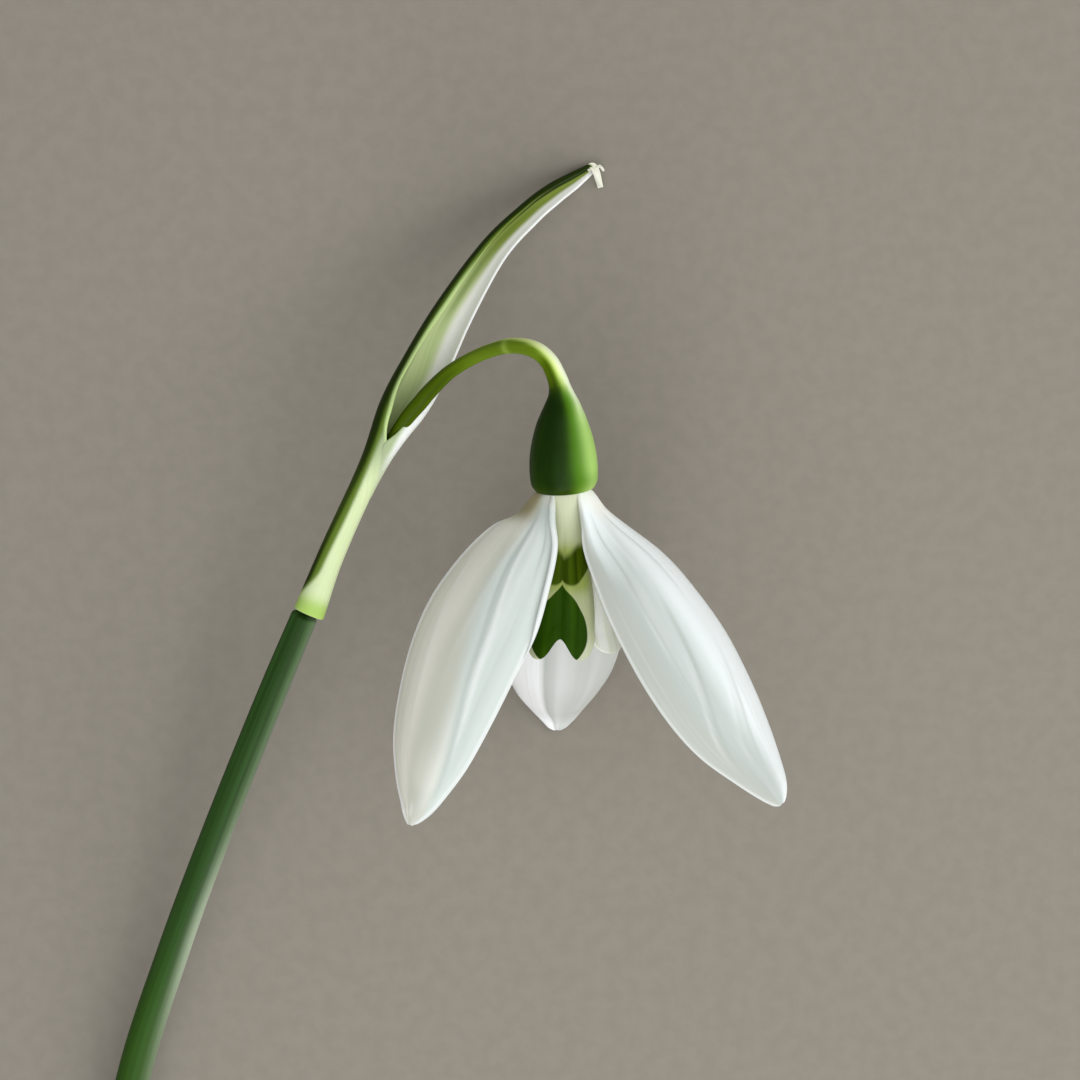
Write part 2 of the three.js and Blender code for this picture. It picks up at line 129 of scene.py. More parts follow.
BACK_ROWS = [
    ((2.6, 3.7, 18.3), (1.0, 3.7, 18.3), 0.15),
    ((3.0, 2.3, 17.1), (0.6, 2.3, 17.1), 0.3),
    ((4.3, 0.1, 15.1), (-0.7, 0.1, 15.1), 0.8),
    ((5.5, -2.7, 12.5), (-2.0, -2.7, 12.5), 1.5),
    ((6.2, -5.2, 10.1), (-2.8, -5.2, 10.1), 2.0),
    ((6.1, -7.5, 7.6), (-2.9, -7.5, 7.6), 2.1),
    ((5.45, -9.7, 5.3), (-2.6, -9.7, 5.3), 1.9),
    ((4.4, -11.45, 3.0), (-1.85, -11.45, 3.0), 1.3),
    ((3.5, -12.6, 1.25), (-0.95, -12.6, 1.25), 0.8),
    ((2.75, -13.55, 0.42), (-0.1, -13.55, 0.42), 0.35),
    ((1.9, -14.45, 0.25), (0.65, -14.45, 0.25), 0.05),
]

# Folds that run down an outer petal: where they lie across it at even steps from claw to tip, from 0 at its
# inner edge to 1 at its outer, then the reach of their flanks and their height in mm, and last where they
# start and end down the petal
LEFT_FOLDS = [
    ((0.18, 0.25, 0.24), 0.60, 0.05, 0.04, 0.99),
    ((0.22, 0.32, 0.235, 0.13, 0.10), 0.10, 0.06, 0.04, 0.86),
    ((0.28, 0.39, 0.29, 0.18, 0.14), 0.14, -0.06, 0.04, 0.86),
    ((0.13, 0.13, 0.12), 0.12, -0.12, 0.06, 0.34),
    ((0.11, 0.15, 0.12), 0.20, -0.04, 0.20, 0.92),
    ((0.40, 0.46, 0.46), 0.25, 0.03, 0.05, 0.60),
    ((0.90, 0.83, 0.66, 0.60, 0.60), 0.30, 0.04, 0.08, 0.75),
    ((0.80, 0.80, 0.80), 0.40, -0.02, 0.30, 0.80),
    ((0.50, 0.50, 0.52), 0.12, 0.05, 0.84, 0.98),
    ((0.66, 0.66, 0.66), 0.12, 0.05, 0.86, 0.98),
]
RIGHT_FOLDS = [
    ((0.14, 0.14, 0.10), 0.14, -0.06, 0.04, 0.45),
    ((0.22, 0.22, 0.16), 0.10, 0.04, 0.04, 0.40),
    ((0.30, 0.31, 0.22, 0.16), 0.14, -0.08, 0.03, 0.50),
    ((0.47, 0.44, 0.40), 0.20, 0.04, 0.03, 0.45),
    ((0.70, 0.70, 0.66), 0.14, -0.07, 0.02, 0.50),
    ((0.82, 0.80, 0.78), 0.14, 0.03, 0.02, 0.44),
    ((0.50, 0.46, 0.39, 0.17, 0.10), 0.18, 0.06, 0.34, 0.86),
    ((0.55, 0.51, 0.44, 0.23, 0.17), 0.18, -0.05, 0.34, 0.86),
    ((0.34, 0.26, 0.20), 0.12, 0.05, 0.36, 0.60),
    ((0.75, 0.72, 0.66, 0.40, 0.30), 0.16, 0.05, 0.50, 0.80),
    ((0.84, 0.80, 0.72, 0.55, 0.50), 0.20, -0.05, 0.46, 0.84),
    ((0.45, 0.42, 0.30), 0.60, -0.05, 0.30, 0.99),
]
BACK_FOLDS = [
    ((0.62, 0.62, 0.60), 0.16, -0.07, 0.30, 1.00),
    ((0.50, 0.50, 0.52), 0.25, 0.02, 0.35, 0.98),
    ((0.74, 0.70, 0.66), 0.20, 0.05, 0.35, 0.98),
    ((0.20, 0.22, 0.30), 0.30, 0.03, 0.35, 0.90),
]

# How much painted light an outer petal's skin gets at even steps from its inner edge to its outer, and how
# far across it the painted shade by its inner edge reaches at even steps from claw to tip
LEFT_PAINTED_LIGHT = [0.1, 0.1, 0.1, 0.1, 0.1, 0.32, 0.7, 0.98, 1.0, 1.0, 1.0]
RIGHT_PAINTED_LIGHT = [0.0, 0.0, 0.05, 0.15, 0.3, 0.52, 0.76, 0.8, 0.93, 1.0, 1.0]
BACK_PAINTED_LIGHT = [0.1, 0.1, 0.0, 0.0, 0.15, 0.3, 0.1, 1.0, 1.0, 1.0, 1.0]
LEFT_INNER_SHADE = [0.4, 0.42, 0.44, 0.28, 0.18, 0.1]
RIGHT_INNER_SHADE = [0.05, 0.12, 0.18, 0.2, 0.28, 0.3]

# An outer petal starts a little inside the ovary and is rounded off from TIP_START on. These are shares of
# its length, but its flattest bulge is in mm and its narrowest end is a share of its width
CLAW_START = -0.04
TIP_START, TIP_LENGTH = 0.97, 0.03
NARROWEST_END = 0.3
FLATTEST_BULGE = 0.02

# A fold fades in and out over a share of the petal's length, and a short one over a share of its own. Its
# crest is rounded over a share of its flank, and its paint is full at a height in mm
FOLD_FADE = 0.18
SHORT_FOLD_FADE = 0.45
FOLD_CREST = 0.3
FOLD_FULL_HEIGHT = 0.08

# The rolled rim of an outer petal: its share of the columns, how far it turns, and its least strength
RIM_SHARE = 0.14
RIM_TURN = math.radians(230)
LEAST_RIM = 0.15

# The inner petals, in mm below the ovary's base: where they start and end, how deep their notch is cut and
# how far their shoulders drop. The notch's half width is a share of the petal's
INNER_START = -0.1
INNER_LENGTH = 12.0
INNER_NOTCH_DEPTH = 1.7
INNER_NOTCH_WIDTH = 0.3
INNER_SHOULDER_DROP = 1.5

# The cup's radius and the petal's half width at even steps down, and the relief of an inner petal, in mm. Its
# middle groove's half width is a share of the petal's
INNER_CUP_RADII = [1.62, 1.8, 2.15, 2.55, 2.9, 3.15, 3.3]
INNER_HALF_WIDTHS = [1.3, 1.42, 1.6, 1.95, 2.3, 2.5, 2.45]
INNER_RIPPLE = 0.06
INNER_RIPPLE_TURNS = 9
INNER_GROOVE = 0.12
INNER_GROOVE_WIDTH = 0.12
INNER_FLARE = 0.18

# The upper mark, in mm: a V in its top edge and two round lobes below. Its bottom is given at even steps
# outwards
UPPER_TOP = 4.5
UPPER_TOP_SOFTNESS = 0.35
UPPER_V_DEPTH = 0.85
UPPER_V_HALF_WIDTH = 0.85
UPPER_V_MIDDLE = 0.1
UPPER_HALF_WIDTH = 1.8
UPPER_BOTTOM = [6.15, 6.4, 6.5, 6.45, 6.25, 5.8, 5.3]

# The lower mark, in mm: an upturned V with broad legs, or a heart upside down, cut by the petal's notch. The
# outsides of its legs are given at even steps from its top, and their insides from where the legs part
LOWER_TOP = 5.8
LOWER_LENGTH = 6.5
LEG_OUTSIDES = [-0.4, 0.0, 0.45, 0.9, 1.3, 1.65, 1.85, 1.95, 1.95, 1.75, 1.3, 0.5]
LEGS_PART = 9.2
LEGS_LENGTH = 3.1
LEG_INSIDES = [-1.5, -1.5, -1.5, -1.5, -1.0, -0.3, 0.25, 0.7]


# Lines, meshes and walls

# A line's direction is read from the points this far to each side, as a share of its length
TANGENT_STEP = 0.004


def smooth_line(points):
    """A smooth line through points or numbers, read from 0 at the first to 1 at the last."""
    ends = [2 * points[0] - points[1], *points, 2 * points[-1] - points[-2]]
    spans = len(points) - 1

    def at(along):
        place = along * spans
        first = min(max(int(place), 0), spans - 1)
        t = place - first
        a, b, c, d = ends[first : first + 4]
        bend = a * 2 - b * 5 + c * 4 - d
        twist = b * 3 - a - c * 3 + d
        return (b * 2 + (c - a) * t + bend * t**2 + twist * t**3) * 0.5

    return at


def through(points):
    return smooth_line([Vector(point) for point in points])


def tangent_of(line, along):
    return (line(along + TANGENT_STEP) - line(along - TANGENT_STEP)).normalized()


def ease(value, low, high):
    """Rises smoothly from 0 at low to 1 at high."""
    t = min(max((value - low) / (high - low), 0.0), 1.0)
    return t * t * (3 - 2 * t)


def hump(value, middle, half_width):
    """A soft hump, 1 in the middle."""
    return math.exp(-(((value - middle) / half_width) ** 2))


def in_frame(point):
    """A point in mm, seen from the middle of the view, as a place in the frame in metres."""
    return (Vector(point) - FRAME_ORIGIN) * MM


def finish_mesh(name, mesh, materials, smooth=True):
    data = bpy.data.meshes.new(name)
    mesh.to_mesh(data)
    mesh.free()
    for material in materials:
        data.materials.append(material)
    if smooth:
        data.shade_smooth()
    piece = bpy.data.objects.new(name, data)
    bpy.context.scene.collection.objects.link(piece)
    return piece


def sheet_over(surface, along_cells, across_cells, wrapped=False, floor=0.0, marks=(), turned=False):
    """A grid of quads laid over surface(along, across), and no lower than floor. Its UV map has u across it
    and v along it. A wrapped one is closed into a tube, and a turned one faces the other way. marks are
    (attribute name, function of along and across)."""
    mesh = bmesh.new()
    uv_map = mesh.loops.layers.uv.new("UVMap")
    layers = [(mesh.verts.layers.float.new(name), value_at) for name, value_at in marks]
    bmesh.ops.create_grid(mesh, x_segments=across_cells, y_segments=along_cells, size=0.5)
    for face in mesh.faces:
        for loop in face.loops:
            loop[uv_map].uv = (loop.vert.co.x + 0.5, loop.vert.co.y + 0.5)
    for vert in mesh.verts:
        across, along = vert.co.x + 0.5, vert.co.y + 0.5
        point = surface(along, across)
        point.z = max(point.z, floor)
        vert.co = in_frame(point)
        for layer, value_at in layers:
            vert[layer] = value_at(along, across)
    if wrapped:
        bmesh.ops.remove_doubles(mesh, verts=mesh.verts, dist=SEAM_GAP)
        bmesh.ops.recalc_face_normals(mesh, faces=mesh.faces)
    if turned:
        bmesh.ops.reverse_faces(mesh, faces=mesh.faces)
    return mesh


def add_wall(piece, thickness, thin_at=None, rim_material=0, inner_material=0):
    """Gives a sheet its thickness, half to each side, and rounds its rims. thin_at names the mark that says
    which share of the thickness is there, and the others say which materials its rim and inside take."""
    solid = piece.modifiers.new("wall", "SOLIDIFY")
    solid.thickness = thickness * MM
    solid.offset = 0.0
    solid.use_even_offset = True
    solid.material_offset = inner_material
    solid.material_offset_rim = rim_material
    if thin_at:
        shares = [entry.value for entry in piece.data.attributes[thin_at].data]
        group = piece.vertex_groups.new(name="thickness")
        for index, share in enumerate(shares):
            group.add([index], share, "REPLACE")
        solid.vertex_group = "thickness"
        solid.thickness_vertex_group = 0.0
    round_off(piece)


def round_off(piece):
    subdivision = piece.modifiers.new("rounding", "SUBSURF")
    subdivision.levels = 1
    subdivision.render_levels = 1


def put_on(piece, slot, *nodes):
    """Fastens a piece to the plant and hides the nodes it stands for. slot, the slot that its finish comes
    from, is not used.
    """
    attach(piece, "root")
    if nodes:
        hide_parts(*nodes)


# Materials

# Sockets of a Mix node that mixes colours: how much, the two colours, and the result
MIX_AMOUNT, MIX_BELOW, MIX_ABOVE, MIX_COLOUR = 0, 6, 7, 2

# How strongly living tissue bends light, and how strong the relief of every skin is
TISSUE_IOR = 1.4
BUMP_STRENGTH = 0.5


def linear(hex_colour):
    """An sRGB hex colour as the linear values that a shader takes."""
    channels = [int(hex_colour[i : i + 2], 16) / 255 for i in (1, 3, 5)]
    return (*[c / 12.92 if c <= 0.04045 else ((c + 0.055) / 1.055) ** 2.4 for c in channels], 1.0)


def add(tree, kind, inputs, output=0, **settings):
    """Adds one node with its settings, sets or links its inputs, and returns one of its outputs."""
    made = tree.nodes.new(kind)
    for setting, value in settings.items():
        setattr(made, setting, value)
    for socket, value in inputs.items():
        if isinstance(value, bpy.types.NodeSocket):
            tree.links.new(value, made.inputs[socket])
        else:
            made.inputs[socket].default_value = value
    return made.outputs[output]


def new_material(name, roughness, **more):
    """A material, its node tree to paint it with, and its shader. more sets the shader's other sockets."""
    material = bpy.data.materials.new(name)
    material.use_nodes = True
    shader = material.node_tree.nodes["Principled BSDF"]
    shader.inputs["Roughness"].default_value = roughness
    for socket, value in more.items():
        shader.inputs[socket.replace("_", " ")].default_value = value
    return material, material.node_tree, shader


def new_tissue(name, roughness, glow, radius_mm, gloss=0.3):
    """Plant tissue. A share of the light, glow, sinks in and comes out again within radius_mm."""
    radius = [reach * MM for reach in radius_mm]
    return new_material(
        name, roughness, IOR=TISSUE_IOR, Specular_IOR_Level=gloss,
        Subsurface_Weight=glow, Subsurface_Radius=radius, Subsurface_Scale=1.0,
    )


def streaks(tree, width_mm, length_mm, size_mm, seed=0.0, detail=2.0):
    """Soft streaks, width_mm wide and length_mm long, down a surface whose width and length is size_mm."""
    place = add(tree, "ShaderNodeUVMap", {}, uv_map="UVMap")
    scale = (size_mm[0] / width_mm, size_mm[1] / length_mm, 1.0)
    moved = add(tree, "ShaderNodeMapping", {"Vector": place, "Scale": scale, "Location": (seed, seed, seed)})
    return add(tree, "ShaderNodeTexNoise", {"Vector": moved, "Scale": 1.0, "Detail": detail})


def grains(tree, size_mm, detail=2.0):
    """Fine grains, alike in every direction."""
    place = add(tree, "ShaderNodeTexCoord", {}, "Object")
    return add(tree, "ShaderNodeTexNoise", {"Vector": place, "Scale": 1 / (size_mm * MM), "Detail": detail})


def painted(tree, base, layers):
    """A base colour with layers over it. Each layer is its colour, the pattern or the name of the mark that
    places it, that pattern's value where the layer starts and where it is full, and how much it covers."""
    colour = linear(base) if isinstance(base, str) else base
    for paint, pattern, start, full, cover in layers:
        if isinstance(pattern, str):
            pattern = add(tree, "ShaderNodeAttribute", {}, "Fac", attribute_name=pattern)
        if isinstance(paint, str):
            paint = linear(paint)
        reach = {"Value": pattern, "From Min": start, "From Max": full, "To Max": cover}
        amount = add(tree, "ShaderNodeMapRange", reach, interpolation_type="SMOOTHSTEP")
        sides = {MIX_AMOUNT: amount, MIX_BELOW: colour, MIX_ABOVE: paint}
        colour = add(tree, "ShaderNodeMix", sides, MIX_COLOUR, data_type="RGBA")
    return colour


def give(tree, shader, colour, height, depth_mm):
    """Gives a shader its colour and the fine relief of its surface."""
    relief = {"Height": height, "Distance": depth_mm * MM, "Strength": BUMP_STRENGTH}
    normal = add(tree, "ShaderNodeBump", relief)
    tree.links.new(colour, shader.inputs["Base Color"])
    tree.links.new(normal, shader.inputs["Normal"])


# White petal skin: cells full of air scatter the light, so it is matt, white and a little see-through, with
# faint veins and a creamy claw. Its light and shade are painted on: grey painted shade, painted light, painted
# highlights on its fold crests and thin edges, and painted shade in its fold hollows
def white_petal_skin(name, seed, body, light, inner, shoulder):
    """body is its grey colour of painted shade, where its painted light level is 0, and light its colour where
    that is 1. inner is its painted shade by its inner edge, and shoulder its colour beside its claw."""
    material, tree, shader = new_tissue(
        name, roughness=0.5, glow=0.3, radius_mm=(0.8, 0.8, 0.7),
    )
    broad = streaks(tree, 1.3, 18.0, OUTER_PETAL_SIZE, seed=seed)
    fine = streaks(tree, 0.2, 12.0, OUTER_PETAL_SIZE, seed=seed + 5)
    colour = painted(tree, body, [
        ("#ffffff", broad, 0.45, 0.75, 0.12),
        # Painted light, laid where the painted light level is high
        (light, "painted_light_level", 0.0, 1.0, 1.0),
        # Painted shade by the inner edge
        (inner, "inner_painted_shade", 0.0, 1.0, 1.0),
        ("#cfd4cb", fine, 0.5, 0.8, 0.3),
        # Painted highlights on the crests of the folds, then painted shade in their hollows
        ("#ffffff", "fold", 0.05, 1.0, 0.35),
        ("#aab1ab", "fold", -0.05, -1.0, 0.42),
        ("#f6f6e4", "claw", 0.0, 1.0, 0.8),
        # Beside the claw; on the left petal a painted shadow
        (shoulder, "shoulder", 0.0, 1.0, 1.0),
        # Painted highlight along the edges
        ("#ffffff", "painted_edge_highlight", 0.0, 1.0, 1.0),
    ])
    give(tree, shader, colour, fine, depth_mm=0.016)
    return material


# Marked petal skin: thicker and creamier, streaked with green towards the two dark olive marks on its face
def marked_petal_skin():
    material, tree, shader = new_tissue(
        "marked_petal_skin", roughness=0.5, glow=0.15, radius_mm=(0.4, 0.45, 0.2), gloss=0.06,
    )
    fine = streaks(tree, 0.16, 8.0, INNER_PETAL_SIZE, seed=2.0, detail=3.0)
    broad = streaks(tree, 0.5, 10.0, INNER_PETAL_SIZE, seed=7.0)
    olive = painted(tree, "#2c3c00", [("#3f5200", broad, 0.35, 0.7, 1.0)])
    dark = painted(tree, "#213d00", [("#2d4c00", broad, 0.4, 0.75, 1.0)])
    colour = painted(tree, "#f6f7ee", [
        ("#d3d8b8", fine, 0.45, 0.7, 0.5),
        ("#b4b992", "haze", 0.0, 1.0, 1.0),
        ("#8a9a3a", "haze", 0.85, 1.4, 0.8),
        (olive, "upper_mark", -0.12, 0.14, 1.0),
        (dark, "lower_mark", -0.04, 0.05, 1.0),
    ])
    give(tree, shader, colour, fine, depth_mm=0.03)
    return material


# Inner petal lining: the same white tissue with thin green lines down it
def lined_petal_skin():
    material, tree, shader = new_tissue(
        "lined_petal_skin", roughness=0.45, glow=0.3, radius_mm=(0.8, 0.9, 0.6),
    )
    fine = streaks(tree, 0.16, 8.0, INNER_PETAL_SIZE, seed=4.0, detail=3.0)
    lines = streaks(tree, 0.45, 40.0, INNER_PETAL_SIZE, seed=11.0, detail=1.0)
    colour = painted(tree, "#eceedb", [("#7f9c46", lines, 0.5, 0.6, 0.8)])
    give(tree, shader, colour, fine, depth_mm=0.03)
    return material


# Stalk and ovary skin: tight, smooth and faintly glossy, yellow green on the stalk and dark green on the
# ovary, with painted light that makes the side towards the light paler, and a painted highlight by the neck
def smooth_green_skin():
    material, tree, shader = new_tissue(
        "smooth_green_skin", roughness=0.4, glow=0.1, radius_mm=(0.3, 0.6, 0.1), gloss=0.12,
    )
    mottling = streaks(tree, 1.5, 5.0, STALK_AND_OVARY_SIZE, seed=3.0, detail=3.0)
    # The pale layers are painted light on the side towards it, and the near white layer a painted highlight
    stalk = painted(tree, "#3e5200", [
        ("#566c00", mottling, 0.35, 0.7, 1.0),
        ("#86a81c", "pale", 0.0, 0.5, 1.0),
        ("#e2f09c", "pale", 0.15, 0.76, 1.0),
    ])
    deep = painted(tree, "#122800", [
        ("#1b3600", mottling, 0.35, 0.7, 1.0),
        ("#4c7814", "pale", 0.0, 0.45, 1.0),
        ("#a9cf70", "pale", 0.35, 1.1, 1.0),
    ])
    colour = painted(tree, stalk, [
        (deep, "deep", 0.0, 1.0, 1.0),
        ("#f0f8da", "painted_glint", 0.0, 1.0, 0.9),
    ])
    give(tree, shader, colour, mottling, depth_mm=0.01)
    return material


# Waxed stem skin: dark green with fine ribs, under a pale grey band down its right side that is partly a thin
# waxy bloom and partly painted sheen
def waxed_stem_skin():
    material, tree, shader = new_tissue(
        "waxed_stem_skin", roughness=0.45, glow=0.1, radius_mm=(0.3, 0.6, 0.2), gloss=0.15,
    )
    ribs = streaks(tree, 0.3, 40.0, STEM_SIZE, seed=4.0)
    smears = streaks(tree, 1.1, 14.0, STEM_SIZE, seed=9.0, detail=4.0)
    colour = painted(tree, "#233d14", [
        ("#305420", ribs, 0.35, 0.7, 1.0),
        ("#335610", "pale", 0.0, 1.0, 0.8),
        ("#3c5c2a", smears, 0.5, 0.8, 0.4),
        ("#b4c0a6", "wax_and_painted_sheen", 0.0, 1.0, 0.95),
    ])
    give(tree, shader, colour, ribs, depth_mm=0.02)
    return material


# Cut stem flesh: wet, pale green cells round a lighter pith, drawn coarse enough to show
def cut_stem_flesh():
    material, tree, shader = new_tissue(
        "cut_stem_flesh", roughness=0.3, glow=0.4, radius_mm=(0.5, 0.8, 0.3),
    )
    place = add(tree, "ShaderNodeTexCoord", {}, "Object")
    cell_size = 0.25 * MM
    cells = add(tree, "ShaderNodeTexVoronoi", {"Vector": place, "Scale": 1 / cell_size}, "Distance")
    colour = painted(tree, "#a9c27c", [
        ("#7f9f4e", cells, 0.2, 0.7, 1.0),
        ("#dfe6c4", "pith", 0.0, 1.0, 1.0),
    ])
    give(tree, shader, colour, cells, depth_mm=0.04)
    return material


# Spathe skin, outside: a green keel, painted nearly black on its left side as painted shade, that fades into
# thin pale tissue
def keeled_spathe_skin():
    material, tree, shader = new_tissue(
        "keeled_spathe_skin", roughness=0.42, glow=0.2, radius_mm=(0.5, 0.7, 0.3), gloss=0.12,
    )
    fine = streaks(tree, 0.14, 30.0, SPATHE_SIZE, seed=6.0, detail=3.0)
    colour = painted(tree, "#dceab8", [
        ("#c2d597", fine, 0.4, 0.7, 0.3),
        # Painted shade where the stalk leaves the sheath
        ("#abbb90", "painted_crotch_shade", 0.0, 1.0, 1.0),
        ("#667f2c", "keel", 0.0, 1.0, 1.0),
        ("#c8e199", "near_lip", 0.0, 1.0, 0.9),
        ("#f6f9f2", "white_lip", 0.0, 1.0, 1.0),
        # Painted shade, near black, down the left side
        ("#1e2e00", "painted_left_shade", 0.0, 1.0, 1.0),
        ("#a7ca57", "collar", 0.0, 1.0, 0.85),
    ])
    give(tree, shader, colour, fine, depth_mm=0.016)
    return material


# Spathe skin, inside: thin grey green tissue, more olive further up, which turns white towards its far rim,
# and is painted near black on its left side as painted shade
def pale_spathe_skin():
    material, tree, shader = new_tissue(
        "pale_spathe_skin", roughness=0.45, glow=0.25, radius_mm=(0.8, 0.9, 0.6), gloss=0.15,
    )
    fine = streaks(tree, 0.14, 30.0, SPATHE_SIZE, seed=8.0, detail=3.0)
    colour = painted(tree, "#bccb92", [
        ("#75852c", "olive", 0.0, 1.0, 1.0),
        ("#93a46a", fine, 0.4, 0.75, 0.25),
        ("#5d7026", "rib", 0.0, 1.0, 0.5),
        ("#fffff4", "white_side", 0.0, 1.0, 1.0),
        ("#26350a", "painted_left_shade", 0.0, 1.0, 1.0),
    ])
    give(tree, shader, colour, fine, depth_mm=0.016)
    return material


# Spathe lip: the rim where both skins meet, light green, then as dark as the keel further up, and white on
# the far side. Down the left side it is painted near black as painted shade
def spathe_lip_skin():
    material, tree, shader = new_tissue(
        "spathe_lip_skin", roughness=0.4, glow=0.3, radius_mm=(0.6, 0.8, 0.4),
    )
    fine = streaks(tree, 0.3, 6.0, SPATHE_SIZE, seed=3.0)
    colour = painted(tree, "#b9d27e", [
        ("#c8de96", fine, 0.35, 0.7, 1.0),
        ("#7f8e38", "olive", 0.0, 1.0, 1.0),
        ("#1e2a00", "painted_left_shade", 0.0, 1.0, 1.0),
        ("#f6f9f2", "white_lip", 0.0, 1.0, 1.0),
    ])
    give(tree, shader, colour, fine, depth_mm=0.01)
    return material


# Dry spathe tissue: dead, papery and cream, with fibres
def papery_dry_tissue():
    material, tree, shader = new_tissue(
        "papery_dry_tissue", roughness=0.7, glow=0.3, radius_mm=(0.5, 0.5, 0.4), gloss=0.2,
    )
    fibres = streaks(tree, 0.12, 1.5, DRY_TIP_SIZE, seed=2.0, detail=4.0)
    colour = painted(tree, "#f4f2df", [("#d3cda6", fibres, 0.45, 0.8, 0.7)])
    give(tree, shader, colour, fibres, depth_mm=0.06)
    return material


# Pollen and thread: dusty orange pollen sacs on a thread of white tissue
def dusty_pollen_sacs():
    material, tree, shader = new_tissue(
        "dusty_pollen_sacs", roughness=0.6, glow=0.2, radius_mm=(0.5, 0.4, 0.1),
    )
    dust = grains(tree, size_mm=0.12)
    sacs = painted(tree, "#dc9420", [("#f2b94a", dust, 0.4, 0.65, 1.0)])
    colour = painted(tree, "#e9efd2", [(sacs, "anther", 0.0, 1.0, 1.0)])
    give(tree, shader, colour, dust, depth_mm=0.03)
    return material


# Style skin: smooth, pale green and a little see-through, with faint lighter streaks
def smooth_style_skin():
    material, tree, shader = new_tissue(
        "smooth_style_skin", roughness=0.35, glow=0.3, radius_mm=(0.4, 0.6, 0.2),
    )
    fine = streaks(tree, 0.2, 3.0, STYLE_SIZE, seed=1.0)
    colour = painted(tree, "#b7cc86", [("#dbe7ba", fine, 0.35, 0.7, 1.0)])
    give(tree, shader, colour, fine, depth_mm=0.01)
    return material


# Painted board: the plain matt table top, with the fine mottling of rolled paint
def painted_board():
    material, tree, shader = new_material("painted_board", 0.85)
    grain = grains(tree, size_mm=1.2, detail=3.0)
    colour = painted(tree, "#8a8378", [("#867f74", grain, 0.3, 0.7, 1.0)])
    give(tree, shader, colour, grain, depth_mm=0.05)
    return material


# Outer petals

